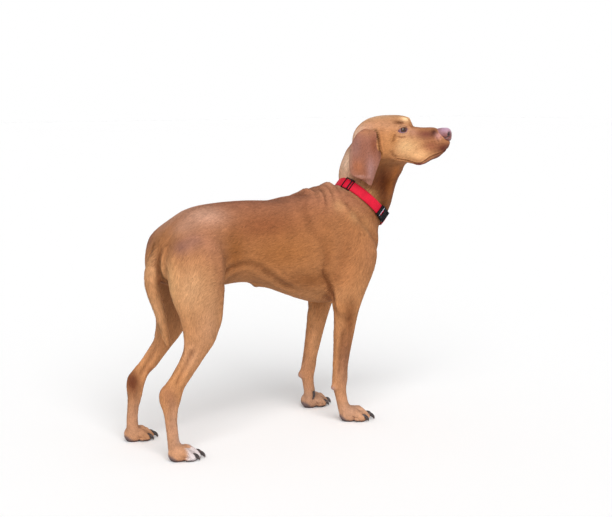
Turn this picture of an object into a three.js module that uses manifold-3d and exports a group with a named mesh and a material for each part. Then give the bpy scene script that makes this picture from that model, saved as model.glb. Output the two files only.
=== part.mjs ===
// A smooth-coated pointing dog, standing still with its head turned to its right, and its collar.
// Millimetres, +X ahead, +Y to the dog's left, +Z up. The body is lofted whole, then parted with thin cuts.
import * as THREE from "three";
import { LoftGeometry } from "three/addons/geometries/LoftGeometry.js";
import { mergeVertices } from "three/addons/utils/BufferGeometryUtils.js";
import Module from "manifold-3d";

const wasm = await Module();
wasm.setup();

// Driving dimensions
const GAP = 0.3; // between neighbouring parts
const SMALLEST_EDGE = 1e-3;
const SMOOTH_ENOUGH = 1.6; // facets that stand out less than this from their neighbours are joined
const BIG = 2000; // larger than the dog

const FORE_STANCE = 74; // pastern to the middle plane
const HIND_STANCE = 95;
const HOCK_HEIGHT = 160;
const STIFLE_HEIGHT = 320;
const ELBOW_HEIGHT = 318;
const WRIST_HEIGHT = 112;

const HEAD_TURN = -52; // degrees about +Z, to the dog's right
const HEAD_AT = new THREE.Vector3(314.7, -7.6, 741); // under the occiput, level with the top of the muzzle
const EYE_RADIUS = 11;
const EYE_AT = [122.5, 29.5, -7];

const COLLAR_AT = [329, -8, 549];
const COLLAR_YAW = -8;
const COLLAR_PITCH = -41; // nape high, throat low
const COLLAR_REACH = 79;
const COLLAR_SIDE = 56;
const WEBBING_WIDTH = 25;
const WEBBING_THICKNESS = 2.4;
const WEBBING_CLEARANCE = 2;
const UNDER_COLLAR = 17; // the neck keeps one size this far up and down from the middle of the collar

const coat = new THREE.MeshStandardMaterial({ color: 0xb9784b, roughness: 0.6, metalness: 0 });
const earLeather = new THREE.MeshStandardMaterial({ color: 0xa0694f, roughness: 0.6, metalness: 0 });
const noseLeather = new THREE.MeshStandardMaterial({ color: 0x8d5f58, roughness: 0.45, metalness: 0 });
const eyeSurface = new THREE.MeshStandardMaterial({ color: 0x4a2a14, roughness: 0.1, metalness: 0 });
const clawHorn = new THREE.MeshStandardMaterial({ color: 0x3a2a26, roughness: 0.4, metalness: 0 });
const webbing = new THREE.MeshStandardMaterial({ color: 0xd7193a, roughness: 0.75, metalness: 0 });
const blackPlastic = new THREE.MeshStandardMaterial({ color: 0x16181c, roughness: 0.35, metalness: 0 });

const degrees = THREE.MathUtils.degToRad;

// A closed geometry as a solid, with its faces pointing out.
function solid(geometry) {
  const bare = new THREE.BufferGeometry();
  bare.setAttribute("position", geometry.getAttribute("position"));
  bare.setIndex(geometry.getIndex());
  const merged = mergeVertices(bare, SMALLEST_EDGE);
  const vertProperties = merged.getAttribute("position").array;
  const triVerts = new Uint32Array(merged.getIndex().array);
  return new wasm.Manifold(new wasm.Mesh({ numProp: 3, vertProperties, triVerts }));
}

function geometryOf(body) {
  const mesh = body.getMesh();
  const geometry = new THREE.BufferGeometry();
  geometry.setAttribute("position", new THREE.BufferAttribute(mesh.vertProperties, 3));
  geometry.setIndex(new THREE.BufferAttribute(mesh.triVerts, 1));
  return geometry;
}

function union(...bodies) {
  return bodies.reduce((all, body) => all.add(body));
}

const mirrored = (at, side) => [at[0], at[1] * side, at[2]];

// A loft along a row of stations. Each is an egg-shaped ring about the point at: ahead and behind are its
// reaches along its own forward line, which yaw and pitch turn, side is its reach to left and right, and
// square makes it boxier past 2. place puts the whole loft somewhere, bend moves single points first.
function loft(stations, { rings, sides, place = new THREE.Matrix4(), bend = (p) => p }) {
  const spline = (pick) =>
    new THREE.CatmullRomCurve3(stations.map((s) => new THREE.Vector3(...pick(s))));
  const places = spline((s) => s.at);
  const reaches = spline((s) => [s.ahead, s.behind ?? s.ahead, s.side]);
  const turns = spline((s) => [s.yaw ?? 0, s.pitch ?? 0, s.square ?? 2]);
  const sections = [];
  for (let i = 0; i <= rings; i++) {
    const at = places.getPoint(i / rings);
    const reach = reaches.getPoint(i / rings);
    const turn = turns.getPoint(i / rings);
    sections.push(ring(at, reach, turn, sides).map((p) => bend(p).applyMatrix4(place)));
  }
  if (facesBack(sections)) sections.forEach((points) => points.reverse());
  return solid(new LoftGeometry(sections, { capStart: true, capEnd: true }));
}

// Whether the rings wind the wrong way for the direction that the loft runs in.
function facesBack([first, second]) {
  const third = Math.round(first.length / 3);
  const facing = new THREE.Plane().setFromCoplanarPoints(first[0], first[third], first[2 * third]).normal;
  const run = new THREE.Vector3();
  first.forEach((point, i) => run.add(second[i]).sub(point));
  return facing.dot(run) < 0;
}

function ring(at, reach, turn, sides) {
  const yaw = degrees(turn.x);
  const pitch = degrees(turn.y);
  const forward = new THREE.Vector3(
    Math.cos(yaw) * Math.cos(pitch), Math.sin(yaw) * Math.cos(pitch), Math.sin(pitch));
  const sideways = new THREE.Vector3(-Math.sin(yaw), Math.cos(yaw), 0);
  const power = 2 / turn.z;
  const points = [];
  for (let k = 0; k < sides; k++) {
    const angle = (2 * Math.PI * k) / sides;
    const along = Math.sign(Math.cos(angle)) * Math.abs(Math.cos(angle)) ** power;
    const across = Math.sign(Math.sin(angle)) * Math.abs(Math.sin(angle)) ** power;
    points.push(at.clone()
      .addScaledVector(forward, along * (along > 0 ? reach.x : reach.y))
      .addScaledVector(sideways, across * reach.z));
  }
  return points;
}

// Rounded swellings on a loft, alike on both sides: each pushes the surface within its reach of the point at.
function swell(swellings) {
  return (p) => {
    const moved = p.clone();
    for (const { at, reach, push } of swellings) {
      for (const side of [1, -1]) {
        const distance = p.distanceTo(new THREE.Vector3(...mirrored(at, side)));
        const strength = Math.exp(-((distance / reach) ** 2));
        moved.addScaledVector(new THREE.Vector3(...mirrored(push, side)), strength);
      }
    }
    return moved;
  };
}

// An ellipsoid, turned about its own axes in degrees before it is moved to its place.
function ellipsoid(at, radii, { turn = [0, 0, 0], place = new THREE.Matrix4(), sides = 8 } = {}) {
  const geometry = new THREE.SphereGeometry(1, sides, Math.round(sides * 0.6));
  geometry.rotateX(Math.PI / 2).scale(...radii);
  geometry.rotateX(degrees(turn[0])).rotateY(degrees(turn[1])).rotateZ(degrees(turn[2]));
  return solid(geometry.translate(...at).applyMatrix4(place));
}

// A block used as a region to part the body with; grown by the gap it clears its neighbours.
function block(at, size, { turn = [0, 0, 0], place = new THREE.Matrix4(), grow = 0 } = {}) {
  const geometry = new THREE.BoxGeometry(...size.map((length) => length + 2 * grow));
  geometry.rotateX(degrees(turn[0])).rotateY(degrees(turn[1])).rotateZ(degrees(turn[2]));
  return solid(geometry.translate(...at).applyMatrix4(place));
}

// The collar's own frame: +x to the throat, +y to the dog's left, +z up the neck.
const collarPlace = new THREE.Matrix4()
  .makeRotationFromEuler(new THREE.Euler(0, degrees(-COLLAR_PITCH), degrees(COLLAR_YAW), "ZYX"))
  .setPosition(...COLLAR_AT);

const TRUNK_SWELLINGS = [
  { at: [-268, 46, 434], reach: 32, push: [-9, 6, -10] }, // seat bones
  { at: [-150, 76, 385], reach: 30, push: [0, 8, -20] }, // fold of the flank
  { at: [-165, 60, 545], reach: 34, push: [0, 4, 3] }, // point of the hip
  { at: [240, 6, 596], reach: 26, push: [0, 0, 5] }, // loose skin of the withers
];

// Trunk: rings stand upright across the body, from the seat bones to the front of the chest.
function trunk() {
  const station = (x, top, widest, bottom, side, square) =>
    ({ at: [x, 0, widest], ahead: top - widest, behind: widest - bottom, side, pitch: 90, square });
  return loft([
    station(-282, 464, 444, 422, 22, 2),
    station(-273, 485, 448, 404, 40, 2),
    station(-253, 509, 458, 385, 60, 2), // root of the tail
    station(-215, 544, 468, 372, 87, 2.1), // hips
    station(-160, 566, 468, 370, 88, 2.2), // croup
    station(-100, 571, 470, 371, 80, 2.2), // loin and tucked flank
    station(-40, 572, 468, 374, 82, 2.2),
    station(30, 571, 462, 353, 93, 2.2),
    station(100, 577, 455, 325, 103, 2.2), // spring of the ribs
    station(160, 589, 450, 304, 104, 2.2),
    station(215, 598, 450, 294, 100, 2.2), // withers and brisket
    station(262, 588, 452, 306, 92, 2.2),
    station(308, 558, 458, 338, 81, 2.2),
    station(346, 524, 462, 384, 64, 2), // front of the breastbone
    station(361, 488, 458, 420, 34, 2),
  ], { rings: 20, sides: 16, bend: swell(TRUNK_SWELLINGS) });
}

function neck() {
  return loft([
    { at: [225, 0, 478], ahead: 104, behind: 112, side: 84, pitch: -50 },
    { at: [286, -3, 520], ahead: 102, behind: 96, side: 69, yaw: -3, pitch: -40 },
    ...[-UNDER_COLLAR, UNDER_COLLAR].map((height) => ({
      at: new THREE.Vector3(0, 0, height).applyMatrix4(collarPlace).toArray(),
      ahead: COLLAR_REACH,
      side: COLLAR_SIDE,
      yaw: COLLAR_YAW,
      pitch: COLLAR_PITCH,
    })),
    {
      at: new THREE.Vector3(0, 0, 23).applyMatrix4(collarPlace).toArray(),
      ahead: 79,
      behind: 92, // loose skin of the nape, over the collar
      side: 55,
      yaw: -14,
      pitch: -32,
    },
    { at: [344, -15, 612], ahead: 80, behind: 82, side: 54, yaw: -22, pitch: -24 },
    { at: [352, -26, 660], ahead: 87, behind: 76, side: 52, yaw: -38, pitch: -18 },
    { at: [366, -42, 705], ahead: 92, behind: 62, side: 48, yaw: -50, pitch: -8 },
  ], { rings: 8, sides: 12 });
}

// Head, in its own frame: +x from the occiput to the nose, z = 0 at the top of the muzzle.
const headPlace = new THREE.Matrix4()
  .makeRotationZ(degrees(HEAD_TURN))
  .setPosition(HEAD_AT);

const HEAD_SWELLINGS = [
  { at: [121, 26, 20], reach: 15, push: [3, 2, 8] }, // brow
  { at: [92, 52, -20], reach: 22, push: [0, 5, 0] }, // cheekbone
  { at: [58, 50, -60], reach: 30, push: [0, 8, -4] }, // jaw muscle
  { at: [122, 42, -8], reach: 13, push: [-1, -6, 0] }, // hollow of the eye
  { at: [162, 30, -80], reach: 24, push: [0, 6, -4] }, // hanging part of the lip
  { at: [214, 22, -46], reach: 17, push: [2, 3, -2] }, // upper lip
  { at: [134, 0, 22], reach: 11, push: [0, 0, -3] }, // furrow of the stop
];

function skull() {
  const station = (x, top, widest, bottom, side, square) =>
    ({ at: [x, 0, widest], ahead: top - widest, behind: widest - bottom, side, pitch: 90, square });
  return loft([
    station(-8, -16, -34, -56, 28, 2),
    station(4, 4, -32, -68, 42, 2), // occiput
    station(30, 23, -30, -84, 53, 2.1),
    station(60, 30, -28, -93, 57, 2.2), // crown
    station(92, 31, -32, -94, 55, 2.2), // cheekbones
    station(118, 28, -38, -91, 45, 2.2), // brows
    station(136, 20, -44, -91, 36, 2.2), // stop
    station(148, 5, -48, -92, 32, 2.4),
    station(168, 0, -48, -94, 31, 2.6), // flews
    station(192, 1, -42, -79, 30, 2.6),
    station(213, -2, -34, -68, 27, 2.5),
    station(228, -15, -35, -58, 20, 2.2),
    station(236, -26, -37, -50, 12, 2), // front of the lips
  ], { rings: 19, sides: 16, bend: swell(HEAD_SWELLINGS), place: headPlace });
}

function lowerJaw(grow) {
  const station = (x, top, bottom, side) => {
    const middle = (top + bottom) / 2;
    const reach = (top - bottom) / 2 + grow;
    return { at: [x, 0, middle], ahead: reach, side: side + grow, pitch: 90, square: 2.4 };
  };
  return loft([
    station(126 - grow, -74, -88, 12),
    station(150, -66, -92, 17),
    station(185, -60, -83, 18),
    station(212, -55, -70, 15),
    station(226 + grow, -53, -62, 8), // chin
  ], { rings: 6, sides: 8, place: headPlace });
}

function noseSolid(grow) {
  const station = (x, up, down, side) =>
    ({ at: [x, 0, -18], ahead: up + grow, behind: down + grow, side: side + grow, pitch: 90, square: 2.2 });
  return loft([
    station(207 - grow, 15, 6, 11),
    station(217, 18, 12, 16),
    station(230, 16, 15, 18),
    station(239, 11, 12, 15),
    station(243 + grow, 5, 6, 8),
  ], { rings: 6, sides: 10, place: headPlace });
}

function eyeball(side, grow) {
  const radius = EYE_RADIUS + grow;
  return ellipsoid(mirrored(EYE_AT, side), [radius, radius, radius], { place: headPlace, sides: 10 });
}

// The almond between the lids.
function eyeOpening(side) {
  return ellipsoid(mirrored([126.5, 40, -7], side), [14, 12, 7.5],
    { turn: [0, -8, -38 * side], place: headPlace, sides: 6 });
}

// Hanging ear: a flap set on at eye level, bowed round the cheek, widest two thirds down.
const EAR_BOW = 7;
function ear(side, grow) {
  const station = (z, x, y, reach, thickness) =>
    ({ at: [x, side * y, z], ahead: reach + grow, side: thickness / 2 + grow, square: 2.3 });
  const bend = (p) => p.setY(p.y - side * EAR_BOW * ((p.x - 32) / 36) ** 2);
  return loft([
    station(1 + grow, 40, 50, 12, 9),
    station(-10, 36, 58, 26, 12),
    station(-32, 31, 65, 34, 11),
    station(-60, 32, 68, 37, 9),
    station(-88, 33, 68, 36, 8),
    station(-115, 29, 66, 29, 7),
    station(-132, 36, 64, 19, 6.5),
    station(-147 - grow, 47, 62, 6, 5),
  ], { rings: 9, sides: 8, bend, place: headPlace });
}

// Fore leg, level rings from the shoulder blade down to the pastern.
function foreLeg(side, lean) {
  const station = (z, x, y, ahead, behind, width) =>
    ({ at: [x + lean.x(z), side * (y + lean.y(z)), z], ahead, behind, side: width });
  return loft([
    station(565, 205, 50, 24, 26, 20),
    station(510, 222, 64, 56, 50, 31), // shoulder blade
    station(455, 254, 73, 68, 66, 37), // point of the shoulder
    station(395, 252, 78, 66, 74, 38),
    station(350, 238, 80, 52, 64, 35),
    station(ELBOW_HEIGHT, 230, 80, 43, 50, 32),
    station(285, 224, 79, 35, 37, 28),
    station(240, 218, 78, 29, 30, 24),
    station(190, 212, 77, 26, 25, 19),
    station(145, 207, 76, 22, 21, 17),
    station(WRIST_HEIGHT, 204, 75, 24, 21, 18), // wrist
    station(85, 206, 75, 18, 19, 16),
    station(55, 214, FORE_STANCE, 16, 15, 15), // pastern
    station(22, 224, FORE_STANCE, 17, 16, 17),
  ], { rings: 17, sides: 10 });
}

// Hind leg, level rings from the hip down to the pastern. The thigh turns its front edge outwards.
function hindLeg(side, lean, hockDepth) {
  const station = (z, x, y, ahead, behind, width, turn = 0) => ({
    at: [x + lean.x(z), side * (y + lean.y(z)), z],
    ahead,
    behind,
    side: width,
    yaw: side * turn,
  });
  return loft([
    station(528, -205, 48, 42, 34, 26, 10),
    station(495, -214, 60, 64, 53, 40, 10), // hip
    station(450, -222, 70, 78, 64, 45, 10),
    station(400, -223, 77, 76, 68, 44, 10), // thigh
    station(355, -221, 84, 68, 61, 38, 8),
    station(STIFLE_HEIGHT, -217, 88, 57, 52, 34, 5), // stifle
    station(280, -218, 88, 48, 44, 30),
    station(240, -233, 86, 39, 29, 23), // calf
    station(205, -256, 84, 35, 26, 17),
    station(178, -276, 82, 35, 28, 15),
    station(HOCK_HEIGHT, -289, 80, hockDepth, 35, 15.5), // point of the hock
    station(138, -295, 80, hockDepth - 2, 31, 15.5),
    station(110, -297, 84, 19, 19, 13.5),
    station(70, -298, 90, 14, 14, 13),
    station(22, -294, HIND_STANCE, 16, 16, 16), // hind pastern
  ], { rings: 20, sides: 10 });
}

// Paw, in its own frame: the origin is on the floor under the back of the toes, +x along the toes.
const TOES = [
  { name: "outer", y: 22, tip: 40, splay: 10 },
  { name: "middle_outer", y: 8.5, tip: 51, splay: 3 },
  { name: "middle_inner", y: -8.5, tip: 51, splay: -3 },
  { name: "inner", y: -22, tip: 40, splay: -10 },
];

function pawPlace({ x, y, turn, size }) {
  return new THREE.Matrix4()
    .makeRotationZ(degrees(turn))
    .scale(new THREE.Vector3(size, size, size))
    .setPosition(x, y, 0);
}

function toe(place, { y, tip, splay }) {
  const station = (back, top, bottom, side) => ({
    at: [tip - back, y - back * Math.tan(degrees(splay)), (top + bottom) / 2],
    ahead: (top - bottom) / 2,
    side,
    pitch: 90,
  });
  return loft([
    station(42, 30, 10, 8),
    station(27, 35, 2, 10.5), // knuckle
    station(11, 28, -5, 10.5),
    station(4, 21, -2, 8.5),
    station(0, 14, 4, 4.5), // toe pad
  ], { rings: 4, sides: 5, place });
}

function paw(placing) {
  const place = pawPlace(placing);
  return union(
    ellipsoid([0, 0, 19], [27, 24, 24], { place }),
    ...TOES.map((each) => toe(place, each)),
  );
}

function claw(placing, { y, tip, splay }) {
  const station = (along, z, radius) => ({
    at: [tip + along, y + along * Math.tan(degrees(splay)), z],
    ahead: radius,
    side: radius * 0.8,
    pitch: 90 - along * 3,
  });
  return loft([
    station(GAP, 12.5, 3.6),
    station(6, 12, 3.2),
    station(11, 8.5, 2.2),
    station(14, 4, 0.9),
  ], { rings: 3, sides: 4, place: pawPlace(placing) });
}

const DEWCLAW_INWARD = 23; // from the middle of the pastern
function dewclaw(side, lean, grow) {
  const station = (z, x, radius) => ({
    at: [x + lean.x(30), side * (FORE_STANCE + lean.y(30) - DEWCLAW_INWARD), z],
    ahead: radius + grow,
    side: radius * 0.8 + grow,
    pitch: 30,
  });
  return loft([
    station(46 + grow, 213, 3.4),
    station(38, 219, 3.4),
    station(30, 223, 2.6),
    station(24 - grow, 224, 1.2),
  ], { rings: 3, sides: 4 });
}

// Tail, hanging from its root with a slight backward bow.
function tail(grow) {
  const station = (x, z, reach, pitch) =>
    ({ at: [x, 0, z], ahead: reach + grow, side: reach * 0.95 + grow, pitch });
  return loft([
    station(-226 + grow, 484 + grow, 24, -60),
    station(-249, 472, 22, -50), // root
    station(-271, 452, 20, -22),
    station(-289, 424, 18, -4),
    station(-291, 385, 16, 10),
    station(-276, 340, 13.5, 20),
    station(-262, 295, 12, 14),
    station(-254, 262, 9.5, 8),
    station(-252, 238 - grow, 5, 5), // tip
  ], { rings: 14, sides: 8 });
}

// The legs of a pair stand alike but not together, so each shifts a little, more or less with height.
const { smoothstep, lerp } = THREE.MathUtils;
const between = (foot, elbow) => (z) => lerp(foot, elbow, z / ELBOW_HEIGHT);
const still = { x: () => 0, y: () => 0 };
const leftFore = { x: between(13, 37), y: between(15, -13) };
const leftHind = {
  x: (z) => 8 * smoothstep(z, 60, HOCK_HEIGHT)
    + 28 * smoothstep(z, HOCK_HEIGHT, 300) * (1 - smoothstep(z, 340, 500)),
  y: () => 0,
};
const LEGS = [
  { name: "right", side: -1, fore: still, hind: still, hockDepth: 33,
    forePaw: { x: 234, y: -78, turn: -22, size: 1 }, hindPaw: { x: -292, y: -106, turn: -10, size: 0.95 } },
  { name: "left", side: 1, fore: leftFore, hind: leftHind, hockDepth: 20,
    forePaw: { x: 240, y: 91, turn: 3, size: 1 }, hindPaw: { x: -291, y: 98, turn: -4, size: 0.93 } },
];

const CARPAL_PAD = { z: 94, behind: 24, radii: [11, 9, 11] };

function wholeBody() {
  const legs = LEGS.flatMap(({ side, fore, hind, hockDepth, forePaw, hindPaw }) => [
    foreLeg(side, fore),
    hindLeg(side, hind, hockDepth),
    paw(forePaw),
    paw(hindPaw),
    ellipsoid([206 - CARPAL_PAD.behind + fore.x(CARPAL_PAD.z),
      side * (78 + fore.y(CARPAL_PAD.z)), CARPAL_PAD.z], CARPAL_PAD.radii),
  ]);
  const aboveFloor = block([0, 0, BIG / 2], [BIG, BIG, BIG]);
  return union(trunk(), neck(), skull(), ...legs).simplify(SMOOTH_ENOUGH).intersect(aboveFloor);
}

// Collar: flat webbing round the neck, closed at the throat by a side-release buckle, with a slider behind.
function collarRing(offset, height) {
  const station = (z) =>
    ({ at: [0, 0, z], ahead: COLLAR_REACH + offset, side: COLLAR_SIDE + offset, square: 2 });
  return loft([station(-height / 2), station(height / 2)], { rings: 1, sides: 24, place: collarPlace });
}

function strap(grow) {
  const outer = collarRing(WEBBING_CLEARANCE + WEBBING_THICKNESS + grow, WEBBING_WIDTH + 2 * grow);
  return outer.subtract(collarRing(WEBBING_CLEARANCE - grow, WEBBING_WIDTH + 2 * grow + 10));
}

// A block on the collar at an angle round the neck, 0 at the throat and negative to the dog's right.
function onCollar(angle, size, { offset = 0, along = 0, grow = 0 } = {}) {
  const at = degrees(angle);
  const normal = Math.atan2(Math.sin(at) / COLLAR_SIDE, Math.cos(at) / COLLAR_REACH);
  const place = new THREE.Matrix4().makeRotationZ(normal).setPosition(
    COLLAR_REACH * Math.cos(at) + offset * Math.cos(normal) - along * Math.sin(normal),
    COLLAR_SIDE * Math.sin(at) + offset * Math.sin(normal) + along * Math.cos(normal), 0);
  return block([0, 0, 0], size, { place: collarPlace.clone().multiply(place), grow });
}

const BUCKLE_ANGLE = -63;
const BUCKLE = { thickness: 8, length: 19, height: 31, offset: 4.6 };
const SLIDER_ANGLE = -154;
const SLIDER = { thickness: 6, length: 25, height: 31, offset: 3.4 };

function buckleHalf(along, grow) {
  return onCollar(BUCKLE_ANGLE, [BUCKLE.thickness, BUCKLE.length, BUCKLE.height],
    { offset: BUCKLE.offset, along, grow });
}

const HALF_STEP = (BUCKLE.length + GAP) / 2;
const socket = (grow) => buckleHalf(HALF_STEP, grow);
const plug = (grow) => buckleHalf(-HALF_STEP, grow);
const slider = (grow) =>
  onCollar(SLIDER_ANGLE, [SLIDER.thickness, SLIDER.length, SLIDER.height], { offset: SLIDER.offset, grow });

const tailRoot = (grow) => block([-290, 0, 460], [200, 100, 180], { grow });

// Regions that part the body, each claimed in turn from what is left of it.
const HEAD_CUT = 34; // degrees, from the occiput down to the throat
const legBlock = (side, low, high, rear, front, inner = 40) => (grow) =>
  block([(rear + front) / 2, side * (inner + 60), (low + high) / 2], [front - rear, 120, high - low], { grow });
const thighBlock = (side) => (grow) =>
  block([-230, side * 114, 368], [228, 120, 276], { turn: [-8 * side, 0, 0], grow });
const REGIONS = {
  head: (grow) => block([143, 0, 70], [700, 400, 300], { turn: [0, HEAD_CUT, 0], place: headPlace, grow }),
  neck: (grow) => block([0, 0, 131], [600, 600, 300], { place: collarPlace, grow }),
  ...Object.fromEntries([["right", -1], ["left", 1]].flatMap(([name, side]) => [
    [`${name}_fore_paw`, legBlock(side, -10, 88, 150, 340)],
    [`${name}_forearm`, legBlock(side, 88, 302, 150, 320)],
    [`${name}_shoulder`, legBlock(side, 302, 572, 150, 342, 60)],
    [`${name}_hind_paw`, legBlock(side, -10, 48, -350, -150)],
    [`${name}_hock`, legBlock(side, 48, 172, -350, -150)],
    [`${name}_lower_leg`, legBlock(side, 172, 262, -350, -130)],
    [`${name}_thigh`, thighBlock(side)],
  ])),
  chest: (grow) => block([510, 0, 450], [1000, 500, 500], { grow }),
  abdomen: (grow) => block([-53, 0, 450], [126, 500, 500], { grow }),
  rump: (grow) => block([-600, 0, 450], [968, 500, 500], { grow }),
};

const dog = new THREE.Group();

function addPart(name, body, material) {
  const mesh = new THREE.Mesh(geometryOf(body.simplify(GAP / 3)), material);
  mesh.name = name;
  dog.add(mesh);
}

const SIDES = [["right", -1], ["left", 1]];
let flesh = wholeBody().subtract(tail(GAP)).subtract(lowerJaw(GAP)).subtract(noseSolid(GAP));

addPart("nose", noseSolid(0), noseLeather);
addPart("lower_jaw", lowerJaw(0), coat);
addPart("tail_root", tail(0).intersect(tailRoot(0)), coat);
addPart("tail_tip", tail(0).subtract(tailRoot(GAP)), coat);

for (const [name, side] of SIDES) {
  addPart(`eye_${name}`, eyeball(side, 0), eyeSurface);
  addPart(`ear_${name}`, ear(side, 0), earLeather);
  flesh = flesh.subtract(eyeball(side, GAP)).subtract(eyeOpening(side)).subtract(ear(side, GAP));
}

for (const { name, side, fore, forePaw, hindPaw } of LEGS) {
  for (const [end, placing] of [["fore", forePaw], ["hind", hindPaw]]) {
    for (const each of TOES) {
      addPart(`${name}_${end}_claw_${each.name}`, claw(placing, each), clawHorn);
    }
  }
  addPart(`${name}_dewclaw`, dewclaw(side, fore, 0), clawHorn);
  flesh = flesh.subtract(dewclaw(side, fore, GAP));
}

addPart("collar_strap", strap(0).subtract(socket(GAP)).subtract(plug(GAP)), webbing);
addPart("collar_slider", slider(0).subtract(strap(GAP)), blackPlastic);
addPart("collar_buckle_socket", socket(0), blackPlastic);
addPart("collar_buckle_plug", plug(0), blackPlastic);
for (const item of [strap, slider, socket, plug]) {
  flesh = flesh.subtract(item(GAP)); // the coat gives way to the collar
}

for (const [name, region] of Object.entries(REGIONS)) {
  addPart(name, flesh.intersect(region(0)), coat);
  flesh = flesh.subtract(region(GAP));
}

// The origin is on the floor, at the middle of the outline seen from above.
const outline = new THREE.Box3().setFromObject(dog);
const middle = outline.getCenter(new THREE.Vector3());
dog.position.set(-middle.x, -middle.y, -outline.min.z);

export default dog;
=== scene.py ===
"""A smooth-coated russet pointing dog in a red collar, standing with its head turned to its right."""

import math

import bmesh
import bpy
import numpy as np
from mathutils import Euler, Matrix, Vector
from mathutils.bvhtree import BVHTree


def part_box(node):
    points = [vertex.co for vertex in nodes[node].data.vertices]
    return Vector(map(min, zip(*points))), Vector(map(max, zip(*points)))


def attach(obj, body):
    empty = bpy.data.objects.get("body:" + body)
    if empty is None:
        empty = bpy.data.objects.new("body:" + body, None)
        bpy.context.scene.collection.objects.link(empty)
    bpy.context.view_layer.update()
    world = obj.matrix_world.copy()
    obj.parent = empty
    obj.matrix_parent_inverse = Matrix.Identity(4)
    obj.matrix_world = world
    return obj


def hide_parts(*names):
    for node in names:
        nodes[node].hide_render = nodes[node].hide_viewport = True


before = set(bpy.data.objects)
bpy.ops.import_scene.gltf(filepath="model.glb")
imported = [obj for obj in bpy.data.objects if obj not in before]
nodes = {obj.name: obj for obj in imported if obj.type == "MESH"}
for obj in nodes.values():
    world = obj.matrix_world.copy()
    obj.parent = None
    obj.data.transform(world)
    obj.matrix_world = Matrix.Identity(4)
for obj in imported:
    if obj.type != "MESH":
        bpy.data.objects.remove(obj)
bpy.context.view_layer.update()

# The stance. Every measure below is in millimetres in the dog's own frame, x ahead along the trunk, y to its
# left and z up, or in the head's frame, x from the occiput to the nose and z = 0 at the top of the muzzle.
# Both are found from the eyes, whose places in the head are known.
MM = 0.001
HEAD_TURN = math.radians(-52)
EYE_AHEAD, EYE_OUT, EYE_UP = 122.5, 29.5, -7.0
HEAD_IN_DOG = np.array([314.7, -7.6, 741.0])


def middle(node):
    low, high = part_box(node)
    return np.array(low + high) / 2 / MM


head_axes = np.array([
    [math.cos(HEAD_TURN), math.sin(HEAD_TURN), 0],
    [-math.sin(HEAD_TURN), math.cos(HEAD_TURN), 0],
    [0, 0, 1],
])
between_eyes = (middle("eye_left") + middle("eye_right")) / 2
head_origin = between_eyes - EYE_AHEAD * head_axes[0] - EYE_UP * head_axes[2]
dog_origin = head_origin - HEAD_IN_DOG


def from_dog(points):
    return (np.asarray(points, float) + dog_origin) * MM


# The view: from behind and to the right of the dog, at the height of a kneeling person, through a long lens.
# The camera stands on a wide circle round the middle of the dog.
VIEW_MIDDLE, VIEW_DISTANCE = 300.0, 3000.0
VIEW_TURN, VIEW_HEIGHT = math.radians(-35.4), math.radians(10.1)
AIM_TURN, AIM_HEIGHT = math.radians(-37.8), math.radians(7.7)
LENS, SENSOR = 72.0, 36.0

camera_data = bpy.data.cameras.new("camera")
camera_data.lens = LENS
camera_data.sensor_width = SENSOR
camera = bpy.data.objects.new("camera", camera_data)
camera.location = from_dog([
    VIEW_DISTANCE * math.sin(VIEW_TURN) * math.cos(VIEW_HEIGHT),
    -VIEW_DISTANCE * math.cos(VIEW_TURN) * math.cos(VIEW_HEIGHT),
    VIEW_MIDDLE + VIEW_DISTANCE * math.sin(VIEW_HEIGHT),
])
camera.rotation_euler = Euler((math.pi / 2 - AIM_HEIGHT, 0, AIM_TURN))
bpy.context.scene.collection.objects.link(camera)
bpy.context.scene.camera = camera

# The floor and the light: a pale sheet under a bright studio wall. One broad soft light stands high on the
# camera's side, and the ceiling is darker, so that the forms are modelled by soft shade.
FLOOR_PALE, FLOOR_HALF = 0.99, 30
WALL_GLOW, WALL_TOP = 1.0, 0.26
CEILING_GLOW, CEILING_START = 0.36, 0.62
LAMP_POWER, LAMP_SOFTNESS, LAMP_WAY = 2.55, 50, (0.42, 0.72, -0.72)


def new_piece(name, bm, *materials):
    """A piece made of a finished mesh, which is used up."""
    data = bpy.data.meshes.new(name)
    bm.to_mesh(data)
    bm.free()
    for material in materials:
        data.materials.append(material)
    piece = bpy.data.objects.new(name, data)
    bpy.context.scene.collection.objects.link(piece)
    return piece


def new_material(name, **settings):
    """A material with its shader's sockets set, given with _ for a space, its nodes and its shader."""
    material = bpy.data.materials.new(name)
    material.use_nodes = True
    surface = material.node_tree.nodes["Principled BSDF"]
    for socket, value in settings.items():
        surface.inputs[socket.replace("_", " ")].default_value = value
    return material, material.node_tree, surface


def spread(tree, value, low, high, start=0.3, end=0.7):
    """Maps a value, such as a noise, from start..end to low..high."""
    node = tree.nodes.new("ShaderNodeMapRange")
    for name, number in (("From Min", start), ("From Max", end), ("To Min", low), ("To Max", high)):
        node.inputs[name].default_value = number
    tree.links.new(value, node.inputs["Value"])
    return node.outputs["Result"]


floor_sheet, _, _ = new_material(
    "floor", Base_Color=(FLOOR_PALE, FLOOR_PALE, FLOOR_PALE, 1), Roughness=0.9, Specular_IOR_Level=0.1)
bm = bmesh.new()
bmesh.ops.create_grid(bm, x_segments=1, y_segments=1, size=FLOOR_HALF)
floor = new_piece("floor", bm, floor_sheet)

world = bpy.data.worlds.new("studio")
world.use_nodes = True
sky = world.node_tree
height = sky.nodes.new("ShaderNodeSeparateXYZ")
sky.links.new(sky.nodes.new("ShaderNodeTexCoord").outputs["Generated"], height.inputs[0])
glow = spread(sky, height.outputs["Z"], WALL_GLOW, CEILING_GLOW, WALL_TOP, CEILING_START)
glow.node.interpolation_type = "SMOOTHSTEP"
sky.links.new(glow, sky.nodes["Background"].inputs["Strength"])
sky.nodes["Background"].inputs["Color"].default_value = (1.0, 1.0, 1.0, 1)
bpy.context.scene.world = world
bpy.context.scene.view_settings.view_transform = "Standard"

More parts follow.
